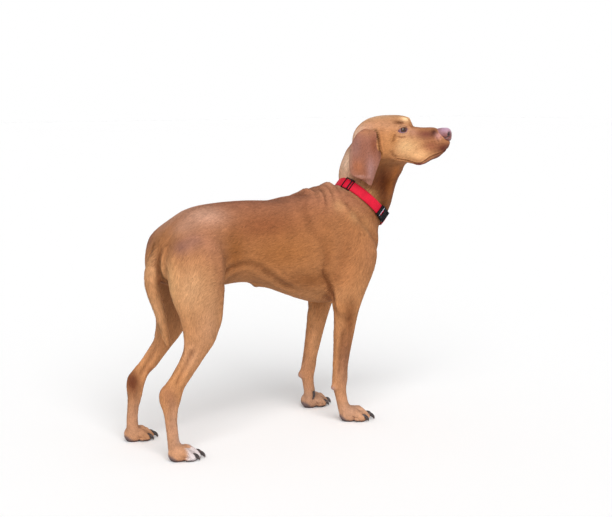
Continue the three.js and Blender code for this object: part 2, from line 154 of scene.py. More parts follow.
lamp_data = bpy.data.lights.new("soft_lamp", "SUN")
lamp_data.energy = LAMP_POWER
lamp_data.angle = math.radians(LAMP_SOFTNESS)
lamp = bpy.data.objects.new("soft_lamp", lamp_data)
lamp.rotation_euler = Vector(LAMP_WAY).to_track_quat("-Z", "Y").to_euler()
bpy.context.scene.collection.objects.link(lamp)

# Skin, the body's shape: one closed surface over all the flesh. The parts are put together with their
# thin cuts closed, and the whole is fitted with an even net of small faces, then faired so that the
# trunk runs in long curves while the legs, face and toes keep their form.
FLESH = [n for n in nodes if not n.startswith(("eye_", "ear_", "collar_", "nose")) and "claw" not in n]
SEAM, CUT_FILL, EYE_BED = 0.01, 0.4, 12.6
NET = 5.05


def from_head(points):
    return (np.asarray(points, float) @ head_axes + head_origin) * MM


def to_head(points):
    return (np.asarray(points, float) / MM - head_origin) @ head_axes.T


def to_dog(points):
    return np.asarray(points, float) / MM - dog_origin


bm = bmesh.new()
for name in FLESH:
    bm.from_mesh(nodes[name].data)
bmesh.ops.remove_doubles(bm, verts=bm.verts, dist=SEAM * MM)
bm.normal_update()
for v in bm.verts:
    v.co += v.normal * CUT_FILL * MM
for side in (1, -1):
    place = Matrix.Translation(Vector(from_head([EYE_AHEAD, EYE_OUT * side, EYE_UP])))
    bmesh.ops.create_icosphere(bm, subdivisions=3, radius=EYE_BED * MM, matrix=place)
solid_tree = BVHTree.FromBMesh(bm)
skin = new_piece("skin", bm)


def applied(piece, *modifiers):
    """Adds each modifier, given as (type, settings), and makes the result the piece's own mesh."""
    for kind, settings in modifiers:
        modifier = piece.modifiers.new(kind, kind)
        for key, value in settings.items():
            setattr(modifier, key, value)
    graph = bpy.context.evaluated_depsgraph_get()
    made = bpy.data.meshes.new_from_object(piece.evaluated_get(graph))
    piece.modifiers.clear()
    old, piece.data = piece.data, made
    bpy.data.meshes.remove(old)
    made.name = piece.name


applied(skin, ("REMESH", dict(mode="VOXEL", voxel_size=NET * MM, adaptivity=0)))


def read_out(mesh, what):
    """A vector of each corner of a mesh, as rows of an array."""
    values = np.empty(len(mesh.vertices) * 3, np.float32)
    mesh.vertices.foreach_get(what, values)
    return values.reshape(-1, 3).astype(float)


def corners(mesh):
    return read_out(mesh, "co")


def facing(mesh):
    return read_out(mesh, "normal")


def put_corners(mesh, co):
    mesh.vertices.foreach_set("co", co.astype(np.float32).ravel())
    mesh.update()


def ramp(x, low, high):
    """Rises smoothly from 0 at low to 1 at high."""
    t = np.clip((x - low) / (high - low), 0, 1)
    return t * t * (3 - 2 * t)


def near(points, at, reach):
    """1 at a place, falling to nothing over its reach, which may differ along x, y and z."""
    return np.exp(-(((points - np.array(at, float)) / np.array(reach, float)) ** 2).sum(1))


def mean_of_neighbours(mesh):
    """A function that averages a value over each corner's neighbours, the edges' ends, and their count."""
    ends = np.empty(len(mesh.edges) * 2, np.int32)
    mesh.edges.foreach_get("vertices", ends)
    ends = ends.reshape(-1, 2)
    count = len(mesh.vertices)
    degree = np.bincount(ends.ravel(), minlength=count).astype(float)[:, None]

    def mean(x, share=True):
        total = np.empty_like(x)
        for k in range(x.shape[1]):
            total[:, k] = np.bincount(ends[:, 0], x[ends[:, 1], k], count)
            total[:, k] += np.bincount(ends[:, 1], x[ends[:, 0], k], count)
        return total / degree if share else total

    return mean, ends, degree


def faired(mesh, held, rounds):
    """Bends the surface evenly, against the hold of each corner on its place, by conjugate gradients."""
    mean, _, degree = mean_of_neighbours(mesh)
    start = corners(mesh)

    def pull(x):
        bend = x - mean(x)
        return held[:, None] * x + bend - mean(bend / degree, False)

    x = start.copy()
    rest = held[:, None] * start - pull(x)
    step, size = rest.copy(), (rest ** 2).sum()
    for _ in range(rounds):
        answer = pull(step)
        length = size / (step * answer).sum()
        x += length * step
        rest -= length * answer
        last, size = size, (rest ** 2).sum()
        step = rest + size / last * step
    put_corners(mesh, x)


def face_share(head):
    """1 on the head and 0 behind and below it, for places in the head's frame."""
    return ramp(head[:, 0], -30, 30) * ramp(head[:, 2], -130, -90)


HOLD_TRUNK, HOLD_LEG, HOLD_HEAD, HOLD_TAIL, HOLD_PAW = 0.0012, 0.05, 0.02, 0.06, 0.12
FAIR_ROUNDS = 160
co = corners(skin.data)
dog, head = to_dog(co), to_head(co)
face_hold = face_share(head)
for side in (1, -1):
    # The jaw's corner is let go, so that it runs on into the throat.
    face_hold *= 1 - 0.96 * near(head, [60, 42 * side, -88], (42, 26, 20))
tail_hold = ramp(-dog[:, 0], 255, 275) * (np.abs(dog[:, 1]) < 32)
held = HOLD_TRUNK + HOLD_LEG * (1 - ramp(dog[:, 2], 290, 380)) + HOLD_HEAD * face_hold + HOLD_TAIL * tail_hold
faired(skin.data, held + HOLD_PAW * (1 - ramp(dog[:, 2], 40, 75)), FAIR_ROUNDS)


def refined(mesh, chosen):
    """Halves the faces whose middles are chosen, with the net kept whole round them."""
    bm = bmesh.new()
    bm.from_mesh(mesh)
    picked = chosen(np.array([f.calc_center_median() for f in bm.faces]))
    edges = {e for f, pick in zip(bm.faces, picked) if pick for e in f.edges}
    bmesh.ops.subdivide_edges(bm, edges=list(edges), cuts=1, use_grid_fill=True)
    bm.to_mesh(mesh)
    bm.free()


def head_and_feet(middles):
    dog, head = to_dog(middles), to_head(middles)
    return (dog[:, 2] < 62) | ((head[:, 0] > 60) & (head[:, 2] > -112))


def face(middles):
    head = to_head(middles)
    return (head[:, 0] > 98) & (head[:, 2] > -104)


REFINED_HOLD_FACE, REFINED_HOLD_HEAD, REFINED_HOLD_REST, REFINED_ROUNDS = 0.03, 0.08, 0.8, 40
refined(skin.data, head_and_feet)
refined(skin.data, face)
co = corners(skin.data)
held = np.where(head_and_feet(co), REFINED_HOLD_HEAD, REFINED_HOLD_REST)
faired(skin.data, np.where(face(co), REFINED_HOLD_FACE, held), REFINED_ROUNDS)

# The feet are too fine for that net, so their corners are laid back on the solid toes and eased once.
FOOT_EASE = 0.35
co = corners(skin.data)
foot = 1 - ramp(to_dog(co)[:, 2], 42, 60)
for i in np.flatnonzero(foot > 0):
    co[i] += foot[i] * (np.array(solid_tree.find_nearest(Vector(co[i]))[0]) - co[i])
mean, _, _ = mean_of_neighbours(skin.data)
co += FOOT_EASE * foot[:, None] * (mean(co) - co)
put_corners(skin.data, co)

# Skin, the lie of bones, muscles and folds: swellings and creases pressed into the faired surface, as a
# taxidermist models a form. Creases are laid on the surface along lines, and both sides are made alike.
# The skin first shrinks by the coat's depth.
COAT_DEPTH, FACE_COAT_DEPTH, PAW_COAT_DEPTH = 1.3, 0.8, 0.5
LINE_STEP, FEWEST_STEPS, LINE_ROUNDS = 4, 8, 3
CREASE_REACH, LIP_AT, LIP_WIDTH = 3.5, 1.8, 0.8  # in widths of the crease

co, normals = corners(skin.data), facing(skin.data)
dog, head = to_dog(co), to_head(co)
on_muzzle = ramp(head[:, 0], 20, 90) * ramp(head[:, 2], -130, -90)
depth = COAT_DEPTH + (FACE_COAT_DEPTH - COAT_DEPTH) * on_muzzle
depth += (PAW_COAT_DEPTH - COAT_DEPTH) * (1 - ramp(dog[:, 2], 30, 90))
depth *= ramp(dog[:, 2], 1, 12)
put_corners(skin.data, co - normals * depth[:, None] * MM)


def tree_of(mesh):
    return BVHTree.FromPolygons([v.co for v in mesh.vertices], [p.vertices for p in mesh.polygons])


def laid_on(tree, line, put, get):
    """A line of straight runs made smooth and laid on a surface; put and get change frames."""
    line = np.array(line, float)
    runs = np.r_[0, np.cumsum(np.linalg.norm(np.diff(line, axis=0), axis=1))]
    steps = np.linspace(0, runs[-1], max(FEWEST_STEPS, int(runs[-1] / LINE_STEP)))
    fine = np.stack([np.interp(steps, runs, line[:, k]) for k in range(3)], 1)
    for _ in range(LINE_ROUNDS):
        fine[1:-1] = (fine[:-2] + 2 * fine[1:-1] + fine[2:]) / 4
    return get([tree.find_nearest(Vector(p))[0] for p in put(fine)])


def off_line(points, line):
    """The distance of each point from a line, and how far along the line it lies, 0 to 1."""
    away, along = np.full(len(points), 1e9), np.zeros(len(points))
    for i, (start, end) in enumerate(zip(line[:-1], line[1:])):
        run = end - start
        t = np.clip((points - start) @ run / max(run @ run, 1e-9), 0, 1)
        d = np.linalg.norm(points - start - t[:, None] * run, axis=1)
        closer = d < away
        away[closer] = d[closer]
        along[closer] = (i + t[closer]) / (len(line) - 1)
    return away, along


def swollen(points, at, reach, push):
    """Pushes a rounded place out or in, alike on both sides unless it is on the middle plane."""
    moved = points.copy()
    for side in (1, -1) if at[1] else (1,):
        mirror = np.array([1.0, side, 1.0])
        moved += near(points, at * mirror, reach)[:, None] * (push * mirror)
    return moved


def formed(points, normals, tree, put, get, form, creases):
    """Presses swellings and creases into the surface. A crease sinks along its line, laid on the surface, and
    lifts its lips a little, and one with a negative depth is a ridge."""
    for at, reach, push in form:
        points = swollen(points, at, reach, push)
    for line, width, depth, lips in creases:
        for side in (1, -1) if np.any(np.array(line)[:, 1]) else (1,):
            laid = laid_on(tree, np.array(line, float) * [1, side, 1], put, get)
            reach = CREASE_REACH * width
            close = np.all((points > laid.min(0) - reach) & (points < laid.max(0) + reach), 1)
            away, along = off_line(points[close], laid)
            shape = np.exp(-((away / width) ** 2))
            shape -= lips * np.exp(-(((away - LIP_AT * width) / (LIP_WIDTH * width)) ** 2))
            shape *= np.clip(np.sin(np.pi * along) * 2.5, 0.0, 1) ** 0.7
            points[close] -= normals[close] * (depth * shape)[:, None]
    return points


# Each swelling has a place, its reach and its push.
HEAD_FORM = [
    ([121, 33, 12], (9, 9, 5), [0, -3.5, -0.5]),  # hollow over the eye
    ([131, 20, 20], (9, 11, 6), [2.5, 1.5, 3.0]),  # brow
    ([147, 12, 5], (9, 14, 7), [-2.5, 0, -3.2]),  # stop
    ([-30, 24, -88], (14, 24, 26), [3, 0, 0]),  # nape
    ([-41, 24, -126], (12, 26, 18), [-3, 0, 0]),
    ([95, 46, 10], (20, 12, 14), [0, -2.5, 0]),  # temple
    ([84, 52, -46], (24, 16, 26), [0, 3, 0]),  # jaw muscle
    ([92, 53, -20], (20, 10, 8), [0, 1.5, 0]),  # cheekbone
    ([150, 30, -40], (14, 10, 14), [0, -1.5, 0]),  # hollow under the eye
    ([163, 31, -76], (22, 12, 12), [0, 2.5, -1]),  # hanging lip
    ([195, 29, -52], (18, 10, 12), [0, 1.5, 0]),  # whisker bed
    ([216, 21, -46], (12, 10, 12), [1.5, 1.5, 0]),  # front of the lip
    ([48, 50, 0], (16, 10, 10), [0, 3.5, 0.5]),  # root of the ear
    ([66, 54, -8], (7, 8, 9), [0, 2.0, 0]),  # gristle at the front of the ear
    ([205, 0, 0], (10, 15, 8), [0, 0, -0.6]),  # behind the nose
    ([168, 22, -92], (18, 12, 7), [0, 2, -3.5]),  # lower lip
    ([236, 0, -38], (10, 18, 7), [2.6, 0, 1.5]),  # lip under the nose
    ([206, 12, -72], (21, 18, 10), [1.0, 0.5, -3.2]),  # chin
    ([184, 16, -84], (16, 16, 9), [0, 0.5, -2.4]),
    ([86, 0, -152], (22, 26, 52), [3, 0, 0]),  # throat
]
MOUTH = [
    [106, 40, -82], [116, 36, -86], [130, 32, -90], [146, 29, -92], [160, 28, -91], [172, 27, -89],
    [184, 27, -84], [197, 26, -77.5], [212, 22, -71], [224, 15, -63.5], [231, 8, -57.5], [234, 0, -55],
]
# Each crease has a line, its width, its depth and how far its lips rise.
HEAD_CREASES = [
    (MOUTH, 2.6, 3.4, 0.35),
    ([[138, 26, -8], [145, 27, -18], [149, 29, -30]], 4, 0.7, 0.3),  # from the inner corner of the eye
    ([[111, 43, -14], [107, 49, -24], [105, 53, -36]], 4, 1.6, 0.3),  # from the outer corner
    ([[112, 44, -20], [123, 40, -25], [134, 33, -22]], 3.2, 1.3, 0.3),  # under the lower lid
    ([[112, 40, -80], [104, 48, -70], [99, 53, -56]], 5, 2.0, 0.3),  # from the corner of the mouth
    ([[214, 24, -34], [192, 30, -40], [170, 32, -50], [150, 36, -60]], 8, 1.2, 0.0),
    ([[132, 0, 24], [146, 0, 9], [164, 0, 2]], 5, 1.4, 0.2),  # furrow of the stop
    ([[64, 52, -4], [68, 56, -24], [72, 57, -50], [74, 55, -76]], 4.0, 3.0, 0.3),  # where the ear lies
    ([[209, 20, -8], [207, 24, -18], [209, 24, -30], [216, 20, -37]], 3.2, 1.2, 0.5),  # round the nose
    ([[40, 40, -86], [66, 44, -92], [92, 38, -92], [110, 26, -96]], 9, 1.8, 0.3),  # under the jaw
]
BODY_FORM = [
    ([160, 0, 587], (6, 32, 14), [-3, 0, 6.5]),  # folds of loose skin on the withers
    ([178, 0, 591], (10, 32, 14), [0, 0, -6]),
    ([198, 0, 594], (8, 32, 14), [0, 0, -2]),
    ([226, 0, 597], (11, 30, 14), [0, 0, 5]),
    ([250, 0, 594], (8, 24, 14), [0, 0, -3]),
    ([134, 0, 583], (22, 36, 16), [0, 0, -7]),  # dip behind them
    ([66, 0, 570], (50, 40, 20), [0, 0, -5]),
    ([205, 60, 500], (34, 26, 60), [0, 2.5, 0]),  # blade bone
    ([268, 88, 446], (30, 30, 34), [2.5, 2.5, 0]),  # point of the shoulder
    ([214, 100, 372], (30, 20, 38), [0, 2.5, 0]),  # upper arm
    ([186, 86, 306], (13, 14, 16), [-3, 2, 0]),  # elbow
    ([226, 80, 262], (16, 20, 40), [1.5, 2, 0]),  # forearm muscles
    ([223, 76, 110], (9, 15, 14), [2, 0, 0]),  # wrist
    ([186, 84, 92], (12, 14, 12), [5, 0, 0]),  # pad behind it
    ([-2, 0, 364], (9, 8, 7), [0, 0, -5]),  # under the belly
    ([-166, 62, 548], (20, 16, 14), [0, 2, 4]),  # point of the hip
    ([-230, 66, 520], (26, 24, 22), [0, -2, -3]),  # hollow behind it
    ([-250, 108, 392], (38, 20, 56), [0, 3, 0]),  # thigh
    ([-162, 108, 306], (16, 18, 22), [3, 1, 0]),  # kneecap
    ([-196, 100, 262], (14, 16, 24), [2, 2, 0]),  # shin muscle
    ([-300, 86, 160], (14, 10, 12), [-2, 0, 0]),  # point of the hock
    ([-276, 84, 206], (10, 7, 22), [0, -3.5, 0]),  # hollow ahead of the hock tendon
    ([364, 0, 462], (12, 22, 18), [2, 0, 0]),  # breastbone
    ([0, 0, 362], (34, 9, 12), [0, 0, -5]),  # sheath
    ([-60, 60, 392], (40, 26, 22), [0, -3, 0]),  # tucked flank
]
BODY_CREASES = [
    ([[166, 0, 590], [160, 38, 583], [150, 64, 562]], 5.5, 1.8, 0.5),  # loose folds at the withers
    ([[190, 0, 596], [185, 34, 589], [172, 62, 568], [160, 82, 545]], 5.5, 2.3, 0.6),
    ([[213, 0, 600], [209, 30, 594], [199, 56, 576], [190, 74, 556]], 5, 2.0, 0.5),
    ([[236, 0, 600], [234, 28, 594], [228, 50, 580]], 5, 1.8, 0.5),
    ([[130, 30, 579], [104, 70, 545], [104, 93, 510], [127, 101, 475], [148, 103, 434],
      [146, 99, 400], [158, 90, 368]], 17, 3.6, 0.2),  # behind the shoulder
    ([[212, 60, 576], [250, 79, 540], [286, 84, 500], [310, 72, 452], [322, 50, 410]], 15, 3.6, 0.3),
    ([[208, 44, 584], [222, 84, 532], [240, 102, 480]], 13, -2.4, 0.0),  # spine of the blade bone
    ([[134, 98, 402], [150, 93, 378], [166, 83, 356], [178, 77, 334], [185, 77, 306],
      [190, 82, 286]], 7, 4.5, 0.4),
    ([[-176, 104, 392], [-146, 84, 408], [-111, 77, 424], [-68, 76, 431], [-31, 72, 416], [6, 65, 390],
      [50, 56, 364], [96, 50, 342]], 9, 3.0, 0.5),  # fold of the flank
    ([[-262, 74, 486], [-262, 104, 410], [-246, 112, 340], [-240, 108, 290]], 13, 2.4, 0.2),
    ([[-200, 100, 480], [-180, 112, 400], [-178, 116, 340]], 16, 2.0, 0.2),
    ([[-286, 36, 444], [-286, 50, 432], [-282, 64, 422]], 4.5, 1.8, 0.4),  # parting of the hair
    ([[-272, 16, 488], [-277, 17, 472], [-285, 20, 440], [-284, 22, 405]], 6, 5.0, 0.3),  # beside the tail
    ([[187, 80, 286], [196, 96, 274], [214, 104, 262]], 8, 2.2, 0.3),  # below the elbow
    ([[200, 97, 246], [197, 93, 203], [193, 90, 164], [190, 88, 126]], 6, 4.0, 0.4),  # forearm tendon
    ([[204, 60, 240], [202, 62, 190], [200, 64, 140]], 6, 3.5, 0.4),
    ([[-244, 106, 256], [-258, 100, 230], [-270, 97, 208], [-281, 97, 184], [-288, 96, 168]], 6, 5.5, 0.4),
    ([[-238, 72, 236], [-256, 70, 206], [-274, 69, 182], [-288, 68, 164]], 6, 5.5, 0.4),
    ([[-300, 97, 134], [-303, 99, 100], [-304, 102, 66]], 6.5, 1.8, 0.3),  # long bones of the hind foot
    ([[-292, 70, 140], [-294, 74, 100], [-294, 80, 66]], 6.5, 1.8, 0.3),
    ([[358, 0, 505], [350, 0, 420], [312, 0, 352]], 12, 3.5, 0.2),  # between the breasts
    ([[-255, 70, 300], [-252, 76, 270], [-262, 80, 240]], 8, 1.6, 0.2),
]

tree = tree_of(skin.data)
points, normals = to_head(corners(skin.data)), facing(skin.data) @ head_axes.T
points = formed(points, normals, tree, from_head, to_head, HEAD_FORM, HEAD_CREASES)

# The nose has its own piece. The hair ends in a clean line behind it and below it, and the skin runs inside.
NOSE_MIDDLE = np.array([225.0, 0, -17.3])
NOSE_AHEAD, NOSE_BEHIND, NOSE_BOXY = (17.5, 18.2, 16.5), (27, 18.2, 15.5), 2.6
NOSE_EDGE, NOSE_FOOT = 209.0, -34.0


def nose_edge(points):
    """How far ahead the hair ends on the muzzle: it runs down and forward along the wing of the nose."""
    return NOSE_EDGE + 0.9 * np.clip(-11 - points[:, 2], 0, 22)


off = points - NOSE_MIDDLE
size = (np.abs(off / np.where(off > 0, NOSE_AHEAD, NOSE_BEHIND)) ** NOSE_BOXY).sum(1) ** (1 / NOSE_BOXY)
edge = nose_edge(points)
wanted = 1.07 - 0.17 * ramp(points[:, 0], edge - 1.5, edge + 2.5)
share = ramp(points[:, 0], edge - 9, edge) * ramp(points[:, 2], NOSE_FOOT - 2, NOSE_FOOT + 1)
share *= size > wanted
points = points + off * (share * (wanted / np.maximum(size, 0.1) - 1))[:, None]

points, normals = to_dog(from_head(points)), facing(skin.data)
points = formed(points, normals, tree, from_dog, to_dog, BODY_FORM, BODY_CREASES)

# The paws: four arched toes each, with a furrow between them. A paw's own frame has its origin on the
# floor under the back of the toes and x ahead along them. The claws and pads below use it too. A paw is
# given by its origin, its turn in degrees and its size.
PAWS = {
    "right_fore": (234, -78, -22, 1.0),
    "left_fore": (240, 91, 3, 1.0),
    "right_hind": (-292, -106, -10, 0.95),
    "left_hind": (-291, 98, -4, 0.93),
}
TOE_OUT, TOE_TIP = (22, 8.5, -8.5, -22), (31, 51, 51, 31)
# The balls of a toe from the knuckle to the tip: ahead of the tip, share of its way out, height and radius.
TOE_BONES = [
    (-42, 0.72, 27, 10.5),
    (-25, 0.95, 27.5, 10.2),
    (-13, 1, 17, 9.0),
    (-6, 1.02, 10.4, 8.4),
    (-16, 1, 8.5, 8.0),
]
TOE_SET, HEEL_ROUNDS, SOLE = 0.9, 14, 0.3


def paw_frame(paw):
    x, y, turn, size = PAWS[paw]
    return Matrix.Translation((x, y, 0)) @ Matrix.Rotation(math.radians(turn), 4, "Z") @ Matrix.Scale(size, 4)


def on_paw(paw, points):
    """Places of the dog's frame in a paw's frame."""
    place = np.linalg.inv(np.array(paw_frame(paw)))
    return points @ place[:3, :3].T + place[:3, 3]


for paw in PAWS:
    local = on_paw(paw, points)
    close = (np.abs(local[:, 0]) < 70) & (np.abs(local[:, 1]) < 45) & (local[:, 2] < 60)
    toes = local[close]
    # Each corner goes to the nearest toe, which is a run of tapering balls.
    nearest, target = np.full(len(toes), 1e9), toes.copy()
    for out, tip in zip(TOE_OUT, TOE_TIP):
        balls = [(np.array([tip + back, out * wide, up]), size) for back, wide, up, size in TOE_BONES]
        for (start, start_size), (end, end_size) in zip(balls, balls[1:]):
            run = end - start
            share = np.clip((toes - start) @ run / (run @ run), 0, 1)[:, None]
            axis, size = start + share * run, start_size + share[:, 0] * (end_size - start_size)
            reach = np.linalg.norm(toes - axis, axis=1)
            better = reach - size < nearest
            nearest[better] = (reach - size)[better]
            target[better] = (axis + (toes - axis) * (size / np.maximum(reach, 1))[:, None])[better]
    weight = ramp(toes[:, 0], -6, 8) * (1 - ramp(toes[:, 2], 37, 46)) * (np.abs(nearest) < 9)
    weight *= ramp(toes[:, 2], 3, 9) * 0.6 + 0.4
    toes += TOE_SET * weight[:, None] * (target - toes)
    local[close] = toes
    place = np.array(paw_frame(paw))
    points = local @ place[:3, :3].T + place[:3, 3]
    # The joint runs smoothly down into the heel.
    weight = 0.8 * near(local, [-10, 0, 40], (26, 30, 15))[:, None]
    for _ in range(HEEL_ROUNDS):
        points += weight * (mean(points) - points)
points[:, 2] = np.maximum(points[:, 2], SOLE)
put_corners(skin.data, from_dog(points))

# Lids: fleshy rolls round the sockets. A lid meets the ball in a smooth lilac rim and runs out into the coat,
# and the skin dips under it.
EYE_RADIUS = 11.0
LID_HALF, LID_RISE, LID_DROP = 11.6, 6.3, 5.7
LID_ROUND, LID_CURVE, LID_WIDENING = 56, 1.15, 5.4
# The rings of a lid, from the ball to the coat: how far out from the lid's edge, the shares of the height
# that follow the ball, the ball at the edge and the skin, and how high the ring stands over them.
LID_RINGS = [
    (-0.3, 1, 0, 0, -1.2),
    (0.0, 1, 0, 0, 0.5),
    (0.8, 0, 1, 0, 1.3),
    (1.7, 0, 1, 0, 1.35),
    (3.2, 0, 0.5, 0.5, 0.5),
    (5.0, 0, 0, 1, 0.1),
    (6.8, 0, 0, 1, -1.4),
]
BALL_LEAST = 22.0  # the square of the least height reckoned on the ball
RIM_RINGS, RIM_TOP = 3, 2.5
LOOK_FROM, SOCKET_DEPTH = 40, 6
DIP_HALF, DIP_RISE, DIP_UNDER = 15.2, 10.0, 2.4


def eye_frame(side):
    """The middle of an eye and its axes: out of the socket, ahead along the lids, and up."""
    out = np.array([0.42, side * 0.90, 0.07])
    out /= np.linalg.norm(out)
    ahead = np.array([0.88, -side * 0.42, 0.20])
    ahead -= out * (ahead @ out)
    ahead /= np.linalg.norm(ahead)
    up = np.cross(ahead, out) * -side
    return np.array([EYE_AHEAD, EYE_OUT * side, EYE_UP]), out, ahead, up * np.sign(up[2])


def ball_height(a, b):
    return np.sqrt(np.maximum(EYE_RADIUS ** 2 - a ** 2 - b ** 2, BALL_LEAST))


def skin_height(tree, side, a, b):
    """How far the skin stands out of an eye's middle at places across it, found from well outside."""
    eye, out, ahead, up = eye_frame(side)
    heights = []
    for ai, bi in zip(a, b):
        start = from_head([eye + out * LOOK_FROM + ahead * ai + up * bi])[0]
        hit = tree.ray_cast(Vector(start), Vector(-out @ head_axes))
        heights.append(LOOK_FROM - hit[3] / MM if hit[0] else SOCKET_DEPTH)
    return np.array(heights)


def extruded(bm, edges):
    """Extrudes a run of edges and gives the new corners and the new run."""
    made = bmesh.ops.extrude_edge_only(bm, edges=edges)["geom"]
    fresh = [g for g in made if isinstance(g, bmesh.types.BMVert)]
    new = set(fresh)
    return fresh, [g for g in made if isinstance(g, bmesh.types.BMEdge) and new.issuperset(g.verts)]


def put_in_order(bm):
    """Numbers corners and faces by their places, as the operators may number them otherwise on each run."""
    for parts, place_of in ((bm.verts, lambda v: v.co), (bm.faces, lambda f: f.calc_center_median())):
        ordered = sorted(parts, key=lambda part: tuple(round(c, 7) for c in place_of(part)))
        rank = {part: number for number, part in enumerate(ordered)}
        parts.sort(key=rank.get)


lids = {}
tree = tree_of(skin.data)
for side in (-1, 1):
    eye, out, ahead, up = eye_frame(side)
    angle = np.linspace(0, 2 * np.pi, LID_ROUND, endpoint=False)
    edge_a = LID_HALF * np.cos(angle)
    edge_b = np.sign(np.sin(angle)) * np.abs(np.sin(angle)) ** LID_CURVE
    edge_b *= np.where(edge_b > 0, LID_RISE, LID_DROP)
    lids[side] = []
    for grow, of_ball, of_edge, of_skin, over in LID_RINGS:
        a = edge_a * (1 + grow / LID_HALF)
        b = edge_b * (1 + grow / LID_WIDENING)
        h = of_ball * ball_height(a, b) + of_edge * ball_height(edge_a, edge_b)
        h += of_skin * skin_height(tree, side, a, b) + over
        lids[side].append(eye + out * h[:, None] + ahead * a[:, None] + up * b[:, None])
    local = to_head(corners(skin.data)) - eye
    a, b, h = local @ ahead, local @ up, local @ out
    away = np.sqrt((a / DIP_HALF) ** 2 + (b / DIP_RISE) ** 2)
    covered = (1 - ramp(away, 0.98, 1.12)) * (h > 2)
    lowered = np.minimum(h, ball_height(a, b) - DIP_UNDER)
    co = to_head(corners(skin.data)) + (out * ((lowered - h) * covered)[:, None])
    put_corners(skin.data, from_head(co))

bm = bmesh.new()
for side, rings in lids.items():
    loop = bmesh.ops.create_circle(bm, segments=LID_ROUND, radius=1)["verts"]
    edges = list({e for v in loop for e in v.link_edges})
    for v, p in zip(loop, from_head(rings[0])):
        v.co = p
    eye, _, _, up = eye_frame(side)
    for index, (before, ring) in enumerate(zip(rings, rings[1:])):
        loop, edges = extruded(bm, edges)
        before, after = from_head(before), from_head(ring)
        for v in loop:
            v.co = after[np.linalg.norm(before - np.array(v.co), axis=1).argmin()]
        for f in {f for e in edges for f in e.link_faces}:
            height = (to_head(f.calc_center_median()) - eye) @ up
            f.material_index = 1 if index < RIM_RINGS and height < RIM_TOP else 0
bmesh.ops.recalc_face_normals(bm, faces=bm.faces)
put_in_order(bm)
lids_piece = new_piece("lids", bm)

# Markings: one russet-gold coat, redder over the back, paler gold on the cheeks, throat, thighs and tail,
# dusky at the hips and hocks, with a few white toes. Over them lie painted light and shade: painted
# highlights on the crown, brow, cheeks, croup and the ridge ahead of the shoulder blade, painted shade on the
# throat, over the eyes, inside the thighs, on the left hock and in the folds, and lines of painted shadow
# along creases and gaps. They are laid on like strokes of an airbrush, each given as a place, its reach, a
# shade and a strength, and skin and hair take them alike.
RUSSET = [(184, 128, 84), (174, 116, 74), (170, 112, 82)]  # from the belly to the back
HEAD_GOLD = (186, 128, 84)
BODY_STROKES = [
    ([10, 0, 575], (150, 62, 36), (156, 100, 76), 0.6),  # saddle
    ([-20, 80, 515], (120, 44, 38), (134, 76, 48), 0.8),
    ([120, 70, 520], (50, 40, 44), (156, 98, 62), 0.5),
    ([-172, 45, 548], (56, 56, 30), (212, 166, 142), 0.7),  # croup, with a painted highlight where the light from above falls
    ([-228, 50, 530], (30, 40, 30), (198, 150, 126), 0.55),
    ([20, 88, 445], (120, 44, 56), (160, 100, 52), 0.7),  # ribs
    ([-108, 80, 455], (28, 34, 46), (142, 86, 42), 0.8),
    ([110, 88, 374], (100, 60, 26), (138, 82, 42), 0.75),
    ([-190, 100, 490], (40, 36, 50), (176, 122, 98), 0.5),
    ([-256, 80, 486], (24, 28, 20), (128, 88, 80), 0.75),  # dusky hip
    ([-228, 90, 498], (24, 26, 20), (146, 102, 90), 0.6),
    ([-250, 110, 392], (46, 36, 56), (198, 150, 108), 0.85),  # gold of the thigh
    ([-205, 118, 350], (32, 30, 70), (190, 140, 100), 0.65),
    ([-211, 118, 296], (34, 36, 44), (188, 138, 102), 0.7),
    ([-288, 66, 405], (18, 32, 56), (214, 166, 116), 0.7),
    ([-168, 100, 420], (22, 30, 60), (158, 104, 72), 0.5),
    ([240, 104, 470], (50, 40, 64), (164, 108, 68), 0.6),  # shoulder
    ([220, 95, 503], (40, 40, 36), (164, 106, 66), 0.6),
    ([198, 100, 413], (40, 40, 50), (168, 108, 66), 0.65),
    # painted highlight along the ridge ahead of the shoulder blade
    ([205, 70, 550], (18, 24, 16), (208, 156, 108), 0.6),
    ([245, 80, 523], (20, 24, 16), (210, 158, 108), 0.6),
    ([284, 86, 498], (20, 24, 18), (204, 150, 100), 0.5),
    ([273, 108, 430], (24, 26, 50), (172, 116, 78), 0.6),
    ([350, 30, 440], (30, 50, 80), (136, 84, 54), 0.75),  # breast
    ([150, 92, 440], (20, 30, 70), (146, 90, 50), 0.5),
    ([186, 40, 585], (38, 44, 24), (178, 124, 92), 0.6),  # withers
    ([200, 60, 300], (70, 60, 22), (168, 108, 62), 0.6),
    ([-60, 0, 372], (120, 60, 20), (176, 122, 80), 0.6),  # belly
    ([-140, 40, 372], (50, 40, 30), (150, 102, 68), 0.6),
    ([-215, 55, 320], (50, 22, 90), (134, 88, 56), 0.6),  # painted shade inside the thighs
    ([215, 104, 268], (17, 22, 52), (100, 54, 26), 0.82),  # forearm
    ([212, 98, 195], (22, 24, 50), (150, 94, 58), 0.62),
    ([232, 60, 175], (20, 16, 60), (194, 142, 102), 0.6),
    ([214, 82, 120], (24, 24, 34), (166, 120, 92), 0.65),
    ([250, 84, 25], (50, 44, 30), (184, 146, 120), 0.78),  # fore feet
    ([-250, 104, 235], (28, 28, 36), (194, 144, 108), 0.6),
    ([-310, 92, 158], (17, 20, 17), (134, 86, 66), 0.4),  # hocks
    ([-298, 96, 138], (13, 16, 16), (130, 84, 62), 0.55),
    ([-306, 68, 152], (13, 14, 20), (100, 52, 32), 0.85),
    ([-258, 70, 172], (12, 14, 10), (112, 62, 38), 0.7),
    ([-294, 92, 92], (18, 22, 40), (162, 122, 98), 0.7),
    ([-270, 100, 22], (44, 40, 26), (188, 140, 102), 0.7),
    ([-299, 0, 440], (26, 24, 40), (208, 156, 112), 0.8),  # tail
    ([-286, 0, 335], (26, 24, 60), (206, 154, 110), 0.8),
    ([-262, 0, 260], (20, 20, 40), (190, 136, 92), 0.6),
]
